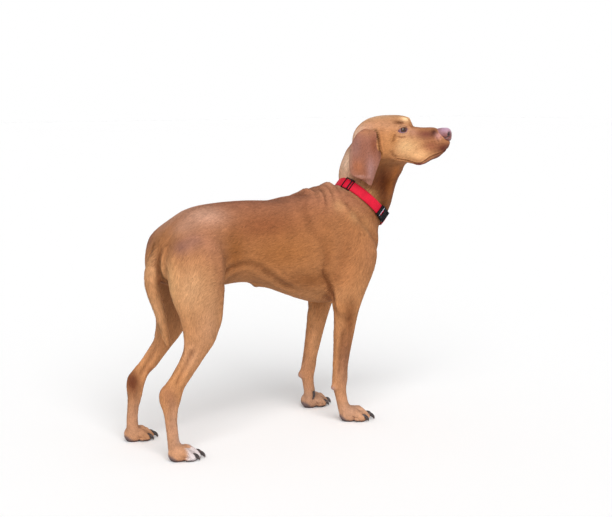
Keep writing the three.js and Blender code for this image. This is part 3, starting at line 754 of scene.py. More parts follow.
NECK_STROKES = [
    # Painted shade on the throat, under the jaw and under the ear.
    ([84, 0, -138], (40, 40, 44), (100, 48, 6), 0.94),
    ([70, 0, -196], (36, 44, 34), (94, 44, 4), 0.9),
    ([76, 26, -124], (34, 28, 24), (72, 30, 6), 0.8),  # painted shade on the throat, behind the jaw
    ([57, 30, -158], (26, 30, 26), (86, 38, 10), 0.88),
    ([92, 34, -102], (26, 22, 14), (100, 50, 16), 0.82),
    ([30, 44, -125], (22, 20, 26), (142, 86, 42), 0.6),
    ([106, 4, -122], (10, 16, 26), (184, 112, 56), 0.75),  # painted highlight on the front of the throat
    ([93, 8, -176], (9, 16, 34), (190, 116, 52), 0.75),
    # painted shadow in the fold down the throat
    ([73, 0, -138], (9, 18, 40), (62, 24, 2), 0.7),
    ([40, 38, -166], (20, 24, 15), (206, 152, 98), 0.85),  # gold under the ear
    ([60, 26, -188], (18, 18, 14), (182, 126, 76), 0.7),
    ([-22, 24, -84], (28, 34, 40), (234, 198, 170), 0.9),  # nape
    ([-40, 26, -132], (30, 40, 40), (222, 180, 148), 0.8),
    ([14, 52, -150], (24, 20, 13), (200, 150, 104), 0.75),
]
HEAD_STROKES = [
    ([60, 0, 32], (50, 34, 18), (244, 204, 168), 0.75),  # crown, with a painted highlight on top
    ([84, 44, 6], (34, 18, 18), (206, 152, 116), 0.62),
    ([14, 40, -14], (26, 26, 26), (244, 208, 182), 0.75),
    ([34, 46, 2], (28, 14, 16), (204, 150, 120), 0.75),  # over the ear
    ([130, 22, 22], (12, 14, 9), (246, 206, 158), 0.85),  # painted highlight on the brow
    ([118, 34, 12], (14, 11, 6.5), (92, 48, 22), 0.92),  # painted shadow of the brow over the eye
    ([128, 34, -8], (16, 12, 13), (206, 160, 134), 0.6),
    ([150, 26, -10], (14, 10, 14), (200, 148, 124), 0.55),
    ([182, 26, -17], (32, 16, 15), (112, 56, 50), 0.88),  # side of the muzzle
    ([180, 0, 2], (40, 16, 8), (156, 102, 80), 0.7),
    ([202, 22, -13], (9, 14, 11), (62, 26, 20), 0.95),
    ([234, 0, -50], (14, 24, 17), (100, 44, 40), 0.9),
    # painted highlight along the lower edge of the nose's wing
    ([213, 20, -22], (8, 10, 9), (206, 150, 146), 0.75),
    ([140, 40, -47], (30, 20, 22), (232, 186, 134), 0.85),  # gold of the cheek, partly a painted highlight where the light falls on it
    ([162, 32, -68], (34, 16, 15), (230, 176, 124), 0.85),
    ([196, 28, -46], (20, 12, 14), (140, 78, 58), 0.75),  # whisker bed
    ([222, 20, -50], (18, 18, 14), (92, 40, 34), 0.92),
    ([106, 50, -28], (9, 10, 18), (170, 112, 62), 0.65),  # below the outer corner of the eye
    ([88, 54, -50], (16, 16, 34), (188, 128, 78), 0.7),  # jaw muscle
    ([96, 46, -76], (18, 16, 9), (160, 102, 62), 0.45),
    ([76, 56, -40], (6, 8, 36), (160, 98, 56), 0.6),
]
# Lips and upper lids are laid on last, over the rest.
LIP_AND_LID_STROKES = [
    ([164, 22, -95], (20, 22, 7.5), (104, 48, 48), 0.95),
    ([196, 14, -84], (22, 18, 8), (104, 50, 46), 0.8),
    ([214, 10, -72], (18, 18, 9), (92, 44, 40), 0.85),
    ([231, 6, -60], (11, 14, 9), (80, 36, 36), 0.85),
    ([EYE_AHEAD, EYE_OUT, EYE_UP + 7.5], (12, 9, 2.6), (66, 34, 28), 0.9),  # upper lid
]
# Painted shade on the inner side and hock of the left hind leg, the one away from the light.
LEFT_HOCK_SHADOW = [
    ([-307, 67, 152], (16, 16, 34), (96, 48, 26), 0.82),
    ([-312, 92, 162], (20, 26, 22), (98, 48, 28), 0.75),  # painted shade on the hock
    ([-296, 96, 128], (16, 24, 20), (120, 70, 44), 0.5),
]
RIGHT_STROKES = [
    ([212, 94, 178], (20, 26, 56), (120, 78, 54), 0.78),
    ([206, 90, 150], (12, 20, 40), (140, 96, 72), 0.5),
]
# Lines of painted shadow along creases and gaps, where the light doesn't reach: beside the tail, at the
# elbow, along the fold of the flank, beside the tendons of hocks and forearms, between the long bones of the
# hind feet, along the sheath, ahead of and under the ears, and where the jaw lies on the throat. Each has a
# line, its width, a shade and a strength.
BODY_SHADOW_LINES = [
    ([[-270, 15, 492], [-276, 17, 474], [-284, 19, 450], [-287, 21, 425], [-285, 22, 398]],
     3.8, (70, 34, 20), 0.85),
    ([[134, 98, 402], [150, 93, 378], [166, 83, 356], [178, 77, 334], [185, 77, 306]], 6, (104, 60, 32), 0.6),
    ([[-176, 104, 388], [-146, 84, 404], [-111, 77, 420], [-68, 76, 427], [-31, 72, 412]],
     6, (120, 70, 36), 0.28),
    ([[-244, 106, 256], [-258, 100, 230], [-270, 97, 208], [-281, 97, 184]], 4.5, (108, 62, 42), 0.72),
    ([[-238, 72, 236], [-256, 70, 206], [-274, 69, 182]], 4.5, (112, 66, 44), 0.65),
    ([[200, 97, 246], [197, 93, 203], [193, 90, 164], [190, 88, 126]], 4.5, (104, 60, 40), 0.7),
    ([[204, 60, 240], [202, 62, 190], [200, 64, 140]], 4.5, (120, 74, 50), 0.5),
    ([[-300, 97, 134], [-303, 99, 100], [-304, 102, 66]], 4, (134, 86, 60), 0.45),
    ([[-30, 0, 362], [0, 0, 358], [20, 0, 356]], 5, (90, 52, 34), 0.6),
]
HEAD_SHADOW_LINES = [
    ([[60, 52, 0], [64, 55, -20], [70, 57, -50], [74, 55, -80]], 3.6, (40, 16, 8), 1.0),  # painted shadow in the gap ahead of the ear
    ([[-8, 60, -122], [10, 60, -130], [30, 58, -140], [50, 54, -152]], 5, (96, 54, 28), 0.65),  # painted shadow under it
    # Painted shadow where the jaw lies on the throat.
    ([[114, 40, -84], [102, 44, -86], [90, 44, -88], [76, 46, -90]], 4.5, (112, 60, 28), 0.65),
]
LIP_SHADE, MOUTH_SHADOW, MOUTH_WIDTH = (128, 66, 64), (58, 24, 22), 1.8
WHISKER_ROWS, WHISKERS_IN_ROW, WHISKER_SHADE = 4, 6, (96, 52, 38)
WHITE_TOE, WRIST_PAD, PALE_FOOT, GREY_HEEL, SOLE_SHADE = (
    (226, 222, 226), (118, 108, 118), (182, 140, 118), (88, 80, 86), (70, 56, 58))


def shade(red, green, blue):
    """A shade given 0 to 255, in the light's own measure."""
    c = np.array([red, green, blue]) / 255
    return np.where(c <= 0.04045, c / 12.92, ((c + 0.055) / 1.055) ** 2.4)


def tinted(colours, weight, towards):
    """Takes each colour towards a shade by its weight."""
    return colours + (shade(*towards) - colours) * weight[:, None]


def laid_strokes(colours, points, strokes, sides=(1, -1)):
    for at, reach, towards, strength in strokes:
        weight = np.zeros(len(points))
        for side in sides if at[1] else (1,):
            weight = np.maximum(weight, near(points, np.array(at) * [1, side, 1], reach))
        colours = tinted(colours, strength * weight, towards)
    return colours


# Lays lines of painted shadow along creases and gaps.
def laid_shadow_lines(colours, points, lines):
    for line, width, towards, strength in lines:
        for side in (1, -1) if line[0][1] else (1,):
            laid = np.array(line, float) * [1, side, 1]
            close = np.all((points > laid.min(0) - 3 * width) & (points < laid.max(0) + 3 * width), 1)
            away, along = off_line(points[close], laid)
            weight = strength * np.exp(-((away / width) ** 2)) * np.clip(np.sin(np.pi * along) * 3, 0, 1)
            colours[close] = tinted(colours[close], weight, towards)
    return colours


HEELS = {}
for paw in PAWS:
    local = on_paw(paw, to_dog(corners(skin.data)))
    low = (local[:, 2] < 12) & (np.abs(local[:, 0]) < 60) & (np.abs(local[:, 1]) < 40)
    HEELS[paw] = local[low, 0].min()


def markings_and_painted_light(co):
    """The colour of skin and hair at each place, painted light and shade included."""
    dog, head = to_dog(co), to_head(co)
    low, high = ramp(dog[:, 2], 330, 470)[:, None], ramp(dog[:, 2], 500, 575)[:, None]
    belly, flank, back = (shade(*tone) for tone in RUSSET)
    colours = belly + (flank - belly) * low + (back - flank) * high
    colours = tinted(colours, face_share(head), HEAD_GOLD)
    colours = laid_strokes(colours, dog, BODY_STROKES)
    colours = laid_strokes(colours, dog, LEFT_HOCK_SHADOW, (1,))
    colours = laid_strokes(colours, dog, RIGHT_STROKES, (-1,))
    colours = laid_strokes(colours, head, NECK_STROKES)
    colours = laid_strokes(colours, head, HEAD_STROKES)
    colours = laid_shadow_lines(laid_shadow_lines(colours, dog, BODY_SHADOW_LINES), head, HEAD_SHADOW_LINES)

    # A painted shadow where the lips part, and the lower lip.
    mouth = np.array(MOUTH, float)
    mirrored = head.copy()
    mirrored[:, 1] = np.abs(mirrored[:, 1])
    away, along = off_line(mirrored, mouth)
    below = np.interp(mirrored[:, 0], mouth[:, 0], mouth[:, 2]) - mirrored[:, 2]
    lower = ramp(below, 0.5, 2.5) * ramp(mirrored[:, 0], 124, 140) * (1 - ramp(below, 8, 14))
    colours = tinted(colours, 0.95 * lower, LIP_SHADE)
    parting = np.exp(-((away / MOUTH_WIDTH) ** 2)) * ramp(along, 0, 0.1)
    colours = tinted(colours, 0.85 * parting, MOUTH_SHADOW)
    colours = laid_strokes(colours, head, LIP_AND_LID_STROKES)

    # Rows of dark whisker spots on the upper lip.
    for row in range(WHISKER_ROWS):
        for spot in range(WHISKERS_IN_ROW):
            at = [178 + 8.0 * spot + 3 * row, 0, -30 - 8 * row + 1.2 * spot]
            flat = (head - at) * [1, 0, 1]
            dot = np.exp(-((flat ** 2).sum(1) / 2.6)) * (np.abs(head[:, 1]) > 12) * (head[:, 0] < 226)
            colours = tinted(colours, 0.5 * dot, WHISKER_SHADE)

    # White toes on the right hind foot, pale pads behind the wrists, dark soles.
    toes = on_paw("right_hind", dog)
    outer = np.abs(toes[:, 1]) > 15
    white = ramp(toes[:, 0] + 16 * outer, 22, 32)
    white *= (np.abs(toes[:, 1]) < 45) * (toes[:, 0] < 70) * (toes[:, 2] < 60)
    white = np.maximum(white * 0.9, 0.6 * near(toes, [6, 12, 44], (9, 12, 16)))
    colours = tinted(colours, white, WHITE_TOE)
    for pad in ([176, -78, 90], [199, 89, 90]):
        colours = tinted(colours, 0.85 * near(dog, pad, (9, 10, 9)), WRIST_PAD)
    for paw, (x, y, _, _) in PAWS.items():
        colours = tinted(colours, 0.45 * near(dog, [x, y, 40], (60, 50, 60)), PALE_FOOT)
        local = on_paw(paw, dog)
        heel = 1 - ramp(local[:, 0] + 0.9 * local[:, 2], HEELS[paw] + 12, HEELS[paw] + 24)
        heel *= (np.abs(local[:, 1]) < 40) * (np.abs(local[:, 0]) < 60) * (1 - ramp(local[:, 2], 16, 24))
        colours = tinted(colours, 0.85 * heel, GREY_HEEL)
    return tinted(colours, 0.9 * (1 - ramp(dog[:, 2], 3, 9)), SOLE_SHADE)


def painted(mesh, colours):
    layer = mesh.color_attributes.new("markings_and_painted_light", "FLOAT_COLOR", "POINT")
    layer.data.foreach_set("color", np.c_[colours, np.ones(len(colours))].astype(np.float32).ravel())


# The lie of the hair: back along the body and down the legs. This is the way it runs at each place, as a unit
# length along the skin, and it steers both the grain of the skin's surface and the tufts.
def along_skin(flow, normals):
    """A flow with what points out of the skin taken away, as unit lengths."""
    flow = flow - normals * (flow * normals).sum(1)[:, None]
    return flow / np.maximum(np.linalg.norm(flow, axis=1), 1e-6)[:, None]


def way_of_hair(co, normals):
    """Back and down on the trunk, down on neck, legs and tail, back on the head, forward on the toes."""
    dog, head = to_dog(co), to_head(co)
    flow = np.tile([-1.0, 0, -0.3], (len(co), 1))

    def turned(weight, way):
        way = np.array(way, float) / np.linalg.norm(way)
        flow[:] += (way - flow) * weight[:, None]

    turned(ramp(dog[:, 0], 180, 260) * (1 - ramp(dog[:, 2], 480, 560)), [-0.35, 0, -1])
    turned(ramp(dog[:, 0], 320, 350), [-0.05, 0, -1])
    turned(ramp(-dog[:, 0], 190, 250) * (1 - ramp(dog[:, 2], 440, 520)), [-0.45, 0, -1])
    turned(ramp(dog[:, 2] - 0.6 * (300 - dog[:, 0]), 560, 610), [-0.6, 0.05, -0.9])
    turned(1 - ramp(dog[:, 2], 300, 380), [-0.12, 0, -1])
    tail = ramp(-dog[:, 0], 240, 262) * (np.abs(dog[:, 1]) < 30) * ramp(dog[:, 2], 215, 230)
    turned(tail * ramp(dog[:, 2], 425, 450), [-0.75, 0, -0.7])
    turned(tail * (1 - ramp(dog[:, 2], 425, 450)), [0.15, 0, -1])
    on_head = ramp(head[:, 0], -30, 30) * ramp(head[:, 2], -120, -96)
    turned(on_head, np.array([-1, 0, -0.1]) @ head_axes)
    cheek = on_head * (1 - ramp(head[:, 2], -50, -10)) * (1 - ramp(head[:, 0], 120, 170))
    turned(cheek, np.array([-0.8, 0, -0.55]) @ head_axes)
    turned(1 - ramp(dog[:, 2], 34, 52), [0.8, 0, -0.5])
    return along_skin(flow, normals)


STRAND_PULL = 0.86


def grained(mesh, co, way):
    """Stores each place pulled in along the way of the hair, so that a noise read there becomes strands."""
    layer = mesh.attributes.new("strands", "FLOAT_VECTOR", "POINT")
    pulled = co - STRAND_PULL * way * (co * way).sum(1)[:, None]
    layer.data.foreach_set("vector", pulled.astype(np.float32).ravel())


HOLLOW_ROUNDS, HOLLOW_GAIN = 9, 2.2


def hollows(mesh):
    """How deep each corner lies in a furrow, from -1 on a ridge to 1 in a fold."""
    mean, ends, degree = mean_of_neighbours(mesh)
    start = corners(mesh)
    smoothed = start
    for _ in range(HOLLOW_ROUNDS):
        smoothed = mean(smoothed)
    run = np.linalg.norm(start[ends[:, 0]] - start[ends[:, 1]], axis=1)
    size = np.bincount(ends.ravel(), np.repeat(run, 2), len(start)) / degree[:, 0]
    depth = ((smoothed - start) * facing(mesh)).sum(1) / size
    return np.clip(mean(mean(depth[:, None]))[:, 0] * HOLLOW_GAIN, -1, 1)


# Painted shade in folds and creases, stronger in blue than in red, and painted light on ridges, from how deep
# each corner of the skin lies in a furrow.
PAINTED_FOLD_SHADE, PAINTED_RIDGE_LIGHT = 0.52, 0.16
for piece in (skin, lids_piece):
    co, normals = corners(piece.data), facing(piece.data)
    colours = markings_and_painted_light(co)
    if piece == skin:
        fold = hollows(skin.data)[:, None]
        colours *= 1 - PAINTED_FOLD_SHADE * np.maximum(fold, 0) * [0.8, 1, 1.1] - PAINTED_RIDGE_LIGHT * np.minimum(fold, 0)
        skin_colours = colours
    painted(piece.data, colours)
    grained(piece.data, co, way_of_hair(co, normals))

# The finish of skin and hair: their painted colours broken up by broad and fine blotches, and on the skin a
# grain of fine strands. The rims of the lids are bare and moist.
HAIR_SHEEN = (1.0, 0.86, 0.72, 1)
RIM_DARK, RIM_LILAC = (72, 36, 44), (152, 108, 126)


def noise(tree, vector, scale, detail, roughness=0.5):
    node = tree.nodes.new("ShaderNodeTexNoise")
    node.inputs["Scale"].default_value = scale
    node.inputs["Detail"].default_value = detail
    node.inputs["Roughness"].default_value = roughness
    tree.links.new(vector, node.inputs["Vector"])
    return node.outputs["Fac"]


def times(tree, a, b):
    node = tree.nodes.new("ShaderNodeMath")
    node.operation = "MULTIPLY"
    tree.links.new(a, node.inputs[0])
    tree.links.new(b, node.inputs[1])
    return node.outputs[0]


def stored(tree, name):
    """The node that reads what is painted or stored on the piece's corners."""
    node = tree.nodes.new("ShaderNodeAttribute")
    node.attribute_name = name
    return node


def marked(tree, surface, value):
    """Takes the painted colours, painted light and shade among them, as the surface's colour, lighter or
    darker by a value.
    """
    node = tree.nodes.new("ShaderNodeVectorMath")
    node.operation = "SCALE"
    tree.links.new(stored(tree, "markings_and_painted_light").outputs["Color"], node.inputs[0])
    tree.links.new(value, node.inputs["Scale"])
    tree.links.new(node.outputs["Vector"], surface.inputs["Base Color"])


def blended(tree, factor, a, b):
    """Blends two shades by a value, or the colour that a node gives and a shade."""
    node = tree.nodes.new("ShaderNodeMix")
    node.data_type = "RGBA"
    if isinstance(a, tuple):
        node.inputs["A"].default_value = (*shade(*a), 1)
    else:
        tree.links.new(a, node.inputs["A"])
    node.inputs["B"].default_value = (*shade(*b), 1)
    tree.links.new(factor, node.inputs["Factor"])
    return node.outputs["Result"]


def bumped(tree, surface, height, strength, distance):
    node = tree.nodes.new("ShaderNodeBump")
    node.inputs["Strength"].default_value = strength
    node.inputs["Distance"].default_value = distance
    tree.links.new(height, node.inputs["Height"])
    tree.links.new(node.outputs["Normal"], surface.inputs["Normal"])


def object_place(tree):
    return tree.nodes.new("ShaderNodeTexCoord").outputs["Object"]


def hairy(name, strands):
    material, tree, surface = new_material(
        name, Roughness=0.58, Sheen_Weight=0.02, Sheen_Roughness=0.45, Sheen_Tint=HAIR_SHEEN,
        Specular_IOR_Level=0.08)
    place = object_place(tree)
    broad, fine = noise(tree, place, 34, 4, 0.6), noise(tree, place, 210, 3, 0.6)
    value = times(tree, spread(tree, broad, 0.90, 1.08), spread(tree, fine, 0.93, 1.07))
    if strands:
        strand = noise(tree, stored(tree, "strands").outputs["Vector"], 950, 4, 0.65)
        value = times(tree, value, spread(tree, strand, 0.74, 1.2))
        bumped(tree, surface, strand, 0.55, 0.0009)
    marked(tree, surface, value)
    return material


coat_skin = hairy("coat_skin", True)
coat_hair = hairy("coat_hair", False)
lid_rim, tree, surface = new_material("lid_rim", Roughness=0.32, Coat_Weight=0.5, Coat_Roughness=0.15)
mottle = spread(tree, noise(tree, object_place(tree), 600, 3), 0, 1)
tree.links.new(blended(tree, mottle, RIM_DARK, RIM_LILAC), surface.inputs["Base Color"])
bumped(tree, surface, noise(tree, object_place(tree), 1500, 2), 0.3, 0.0004)


def smooth(mesh):
    mesh.polygons.foreach_set("use_smooth", [True] * len(mesh.polygons))
    mesh.update()


skin.data.materials.append(coat_skin)
lids_piece.data.materials.append(coat_skin)
lids_piece.data.materials.append(lid_rim)
for piece in (skin, lids_piece):
    smooth(piece.data)
    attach(piece, "root")
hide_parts(*FLESH)

# Eyeballs: glass, with a dark amber iris painted in rings and rays, and a lilac white. The front bulges a
# little over the iris, and a clear glaze lies over all.
IRIS, PUPIL, IRIS_BULGE, BULGE_REACH = 7.2, 2.8, 0.55, 0.75
PUPIL_SHADE, IRIS_DARK, IRIS_AMBER, IRIS_RIM, WHITE_SHADE = (
    (14, 9, 8), (58, 28, 12), (104, 58, 26), (50, 26, 12), (142, 108, 124))
bm = bmesh.new()
gaze_of = {}
for side in (-1, 1):
    eye, out, ahead, up = eye_frame(side)
    gaze = out + 0.10 * ahead
    gaze = Vector(gaze / np.linalg.norm(gaze) @ head_axes)
    up, ahead = Vector(up @ head_axes), Vector(ahead @ head_axes)
    centre = Vector(from_head(eye))
    place = Matrix.Translation(centre) @ gaze.to_track_quat("Z", "Y").to_matrix().to_4x4()
    made = bmesh.ops.create_uvsphere(bm, u_segments=64, v_segments=48, radius=EYE_RADIUS * MM, matrix=place)
    for v in made["verts"]:
        ray = (v.co - centre).normalized()
        off = math.acos(min(1, ray.dot(gaze)))
        v.co += ray * IRIS_BULGE * MM * max(0, 1 - (off / BULGE_REACH) ** 2)
        gaze_of[v] = (off, math.atan2(ray.dot(up), ray.dot(ahead)))
bm.verts.index_update()
off, round_iris = np.array([gaze_of[v] for v in bm.verts]).T
ring = np.where(off > math.pi / 2, EYE_RADIUS, np.sin(off) * EYE_RADIUS)
rays = 0.5 + 0.5 * np.sin(round_iris * 23 + 2 * np.sin(round_iris * 7))
iris = tinted(np.tile(shade(*IRIS_DARK), (len(off), 1)), rays * 0.6, IRIS_AMBER)
iris = tinted(iris, ramp(ring, IRIS - 1.8, IRIS), IRIS_RIM)
iris = tinted(iris, 1 - ramp(ring, PUPIL - 0.3, PUPIL + 0.4), PUPIL_SHADE)
eye_glass, tree, surface = new_material(
    "eye_glass", Roughness=0.12, Specular_IOR_Level=0.2, Coat_Weight=0.6, Coat_Roughness=0.02)
marked(tree, surface, spread(tree, noise(tree, object_place(tree), 900, 2), 0.85, 1.15))
eyes = new_piece("eyes", bm, eye_glass)
painted(eyes.data, tinted(iris, ramp(ring, IRIS - 0.1, IRIS + 1.2), WHITE_SHADE))
smooth(eyes.data)
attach(eyes, "root")
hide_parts("eye_left", "eye_right")

# Nose: bare pebbled leather, moist, with comma-shaped nostrils open to the side and a groove down the
# middle. It sits in the end of the muzzle, flush with the hair behind it. A painted lilac reflection lies on
# its top, and painted shadow in its nostrils.
NOSE_WINGS = [  # swellings of the wings, their tops, and the foot of the nose over the lip
    ([232.0, 15, -17], (8, 6, 7), [0.5, 1.8, 0.5]),
    ([237.0, 12, -9], (6, 6, 5), [0.8, 0.6, 0.8]),
    ([236.0, 0, -30], (9, 16, 7), [2.2, 0, -3.4]),
]
NOSTRIL, NOSTRIL_REACH, NOSTRIL_DEPTH = (240.5, 11.5, -17.5), (9, 6.2, 6.6), (6.5, 0.5, -1.0)
COMMA = [(240, 13, -20), (236, 16.5, -24.5), (229, 18, -26), (222, 18, -24)]
COMMA_WIDTH, COMMA_DEPTH = 2.5, (1.6, 3.0, 0)
GROOVE_WIDTH, GROOVE_DEPTH = 1.1, 1.3
LEATHER, LEATHER_TOP_REFLECTION, LEATHER_WING, LEATHER_FOOT, LEATHER_EDGE, NOSTRIL_SHADOW = (
    (138, 90, 92), (214, 176, 206), (128, 58, 38), (96, 38, 32), (172, 118, 116), (40, 12, 8))
bm = bmesh.new()
bmesh.ops.create_icosphere(bm, subdivisions=6, radius=1)
ray = np.array([v.co for v in bm.verts])
ray *= ((np.abs(ray) ** NOSE_BOXY).sum(1) ** (-1 / NOSE_BOXY))[:, None]
points = NOSE_MIDDLE + ray * np.where(ray > 0, NOSE_AHEAD, NOSE_BEHIND)
points[:, 2] -= 2.0 * ramp(points[:, 0], 234, 243) * (points[:, 2] > -18)
points[:, 0] -= 0.06 * np.maximum(0, -22 - points[:, 2])
points[:, 1] *= 1 - 0.16 * ramp(points[:, 0], 232, 243)
for at, reach, push in NOSE_WINGS:
    points = swollen(points, at, reach, push)
nostril = np.zeros(len(points))
for side in (-1, 1):
    mirror = np.array([1.0, side, 1.0])
    hole = np.exp(-((((points - NOSTRIL * mirror) / NOSTRIL_REACH) ** 2).sum(1) ** 2))
    slit, along = off_line(points, COMMA * mirror)
    cut = np.exp(-((slit / COMMA_WIDTH) ** 2)) * (1 - 0.5 * along)
    points -= hole[:, None] * NOSTRIL_DEPTH * mirror + cut[:, None] * COMMA_DEPTH * mirror
    nostril = np.maximum(nostril, np.maximum(hole, cut * 0.8))
groove = np.exp(-((points[:, 1] / GROOVE_WIDTH) ** 2))
groove *= ramp(points[:, 0], 236, 240) * ramp(-points[:, 2], 10, 18)
points[:, 0] -= GROOVE_DEPTH * groove
for v, p in zip(bm.verts, from_head(points)):
    v.co = p
leather = np.tile(shade(*LEATHER), (len(points), 1))
# A painted lilac reflection of the sky on the top of the nose.
leather = tinted(leather, 0.9 * near(points, [229, 0, -3], (15, 20, 10)), LEATHER_TOP_REFLECTION)
wings = np.maximum(near(points, [236, 14, -22], (13, 10, 10)), near(points, [236, -14, -22], (13, 10, 10)))
leather = tinted(leather, 0.85 * wings, LEATHER_WING)
leather = tinted(leather, 0.8 * ramp(-points[:, 2], 25, 32), LEATHER_FOOT)
leather = tinted(leather, 0.6 * (1 - ramp(points[:, 0], 208, 218)), LEATHER_EDGE)
# Painted shadow in the nostrils and their slits.
leather = tinted(leather, 0.97 * np.clip(nostril * 1.3, 0, 1), NOSTRIL_SHADOW)
nose_leather, tree, surface = new_material(
    "nose_leather", Roughness=0.42, Coat_Weight=0.35, Coat_Roughness=0.3)
pebbles = tree.nodes.new("ShaderNodeTexVoronoi")
pebbles.inputs["Scale"].default_value = 620
tree.links.new(object_place(tree), pebbles.inputs["Vector"])
marked(tree, surface, spread(tree, pebbles.outputs["Distance"], 1.12, 0.8, 0, 0.8))
bumped(tree, surface, spread(tree, pebbles.outputs["Distance"], 1, 0, 0, 0.8), 0.5, 0.0005)
nose = new_piece("nose_leather", bm, nose_leather)
painted(nose.data, leather)
smooth(nose.data)
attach(nose, "root")
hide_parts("nose")

# Ears: thin hanging flaps of skin with short velvet hair, set on above the cheek. Each is rolled in along
# its front edge, hollow behind, and turned out a little at the lower edge. A flap is spanned between the four
# lines of its outline, then given its stand out from the head.
EAR_REAR = [(25, -5), (12, -16), (3, -31), (-3, -47), (-6, -67), (-7, -87), (-6, -103), (-3, -115)]
EAR_FRONT = [(65, -2), (67, -14), (70, -31), (73, -52), (74, -76), (69, -93), (62, -111), (56, -130),
             (50, -146)]
EAR_FOOT = [(-3, -115), (4, -122), (15, -126.5), (28, -131.5), (38, -138), (45, -144.5), (50, -146)]
EAR_HEAD = [(25, -5), (38, -1), (52, 1), (65, -2)]
EAR_OUT_AT = [-147, -132, -115, -88, -60, -32, -10, 1]
EAR_OUT = [62, 64, 66, 68, 68, 65, 58, 50]
EAR_ACROSS, EAR_DOWN, EAR_THICKNESS, EAR_CUP = 30, 44, 3.4, 6.0
# Hollows and swellings across the flap: place across and down, reach across and down, and height.
EAR_WAVES = [
    ((0.72, 0.74), (0.16, 0.28), 2.6),
    ((0.36, 0.52), (0.18, 0.30), -2.4),
    ((0.12, 0.60), (0.12, 0.40), 1.6),
    ((0.78, 0.10), (0.10, 0.08), 1.5),
]
EAR_SHADE = (156, 104, 86)
EAR_STROKES = [
    ([40, 60, -2], (30, 16, 18), (186, 128, 90), 0.85),  # root
    ([58, 64, -42], (12, 12, 32), (132, 72, 46), 0.75),
    ([10, 66, -46], (17, 14, 28), (152, 110, 100), 0.7),
    ([32, 66, -50], (12, 14, 30), (156, 98, 76), 0.5),
    ([18, 66, -98], (18, 14, 20), (182, 112, 74), 0.7),
    ([50, 66, -104], (10, 12, 28), (176, 134, 130), 0.6),  # painted sheen toward the tip
    ([30, 68, -112], (12, 12, 14), (166, 104, 76), 0.5),
    ([-3, 66, -74], (6, 12, 40), (190, 150, 128), 0.5),
    # painted highlight on the turned lower edge, and painted shade along the edge under it
    ([26, 64, -121], (20, 12, 2.5), (190, 152, 142), 0.45),
    ([24, 64, -130], (26, 12, 4), (92, 50, 34), 0.75),
    # painted shade on the rolled front edge
    ([71, 62, -40], (3.5, 10, 40), (78, 36, 22), 0.85),
]


def on_run(line, t):
    """Points at the shares t of the length of a line of straight runs."""
    line = np.array(line, float)
    runs = np.r_[0, np.cumsum(np.linalg.norm(np.diff(line, axis=0), axis=1))]
    return np.stack([np.interp(t * runs[-1], runs, line[:, k]) for k in range(line.shape[1])], -1)


bm = bmesh.new()
for side in (-1, 1):
    made = bmesh.ops.create_grid(bm, x_segments=EAR_ACROSS, y_segments=EAR_DOWN, size=0.5)["verts"]
    s, t = np.array([v.co.xy for v in made]).T + 0.5
    ss, tt = s[:, None], t[:, None]
    flat = (1 - ss) * on_run(EAR_REAR, t) + ss * on_run(EAR_FRONT, t)
    flat += (1 - tt) * on_run(EAR_HEAD, s) + tt * on_run(EAR_FOOT, s)
    flat -= (1 - tt) * ((1 - ss) * EAR_HEAD[0] + ss * EAR_HEAD[-1])
    flat -= tt * ((1 - ss) * EAR_REAR[-1] + ss * EAR_FRONT[-1])
    out = np.interp(flat[:, 1], EAR_OUT_AT, EAR_OUT) - EAR_CUP * ((flat[:, 0] - 32) / 36) ** 2
    out -= 7 * (1 - ramp(t, 0, 0.10))
    out -= 5.0 * ramp(s, 0.80, 1.0) ** 2 * ramp(t, 0.04, 0.15)
    for (across, down), (wide, tall), rise in EAR_WAVES:
        out += rise * np.exp(-(((s - across) / wide) ** 2 + ((t - down) / tall) ** 2))
    out += 2.2 * ramp(t, 0.84, 1.0) * (1 - ramp(s, 0.3, 1.0))
    for v, p in zip(made, from_head(np.c_[flat[:, 0], side * out, flat[:, 1]])):
        v.co = p
bmesh.ops.recalc_face_normals(bm, faces=bm.faces)
bmesh.ops.solidify(bm, geom=bm.faces[:], thickness=EAR_THICKNESS * MM)
bmesh.ops.recalc_face_normals(bm, faces=bm.faces)
put_in_order(bm)
ears = new_piece("ears", bm, coat_skin)
applied(ears, ("SUBSURF", dict(levels=1, render_levels=1)))


def ear_markings_and_painted_light(co):
    return laid_strokes(np.tile(shade(*EAR_SHADE), (len(co), 1)), to_head(co), EAR_STROKES)


def way_of_ear_hair(co, normals):
    """Down the flap and a little back."""
    return along_skin(np.tile(np.array([-0.12, 0, -1.0]) @ head_axes, (len(co), 1)), normals)


co, normals = corners(ears.data), facing(ears.data)
painted(ears.data, ear_markings_and_painted_light(co))
grained(ears.data, co, way_of_ear_hair(co, normals))
smooth(ears.data)
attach(ears, "root")
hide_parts("ear_left", "ear_right")

# Claws: curved horn, blackish brown with a paler streak, four to a foot and a dewclaw inside each wrist. A
# claw is drawn out ring by ring from its root in the skin. A ring has its place ahead and up, and its radius.
CLAW_ROUND, CLAW_FLAT = 14, 0.8
TOE_SPLAY = (12, 3, -3, -12)
CLAW_RUN = [
    (-8, 14.5, 4.0), (-3, 16.0, 4.9), (2, 15.6, 5.2), (6.5, 13.4, 5.0), (10.3, 9.9, 4.3), (12.6, 6.4, 3.2),
    (13.8, 3.7, 1.9), (14.1, 2.4, 0.9),
]
DEWCLAW_RUN = [(4, 49, 3.2), (6, 45, 3.9), (6.5, 39, 3.9), (5, 33, 3.2), (2.5, 28.5, 2.2), (1, 26, 0.9)]
DEWCLAWS = [(221.0, -58.4), (229.0, 66.6)]
HORN_DARK, HORN_PALE = (34, 24, 24), (104, 78, 72)


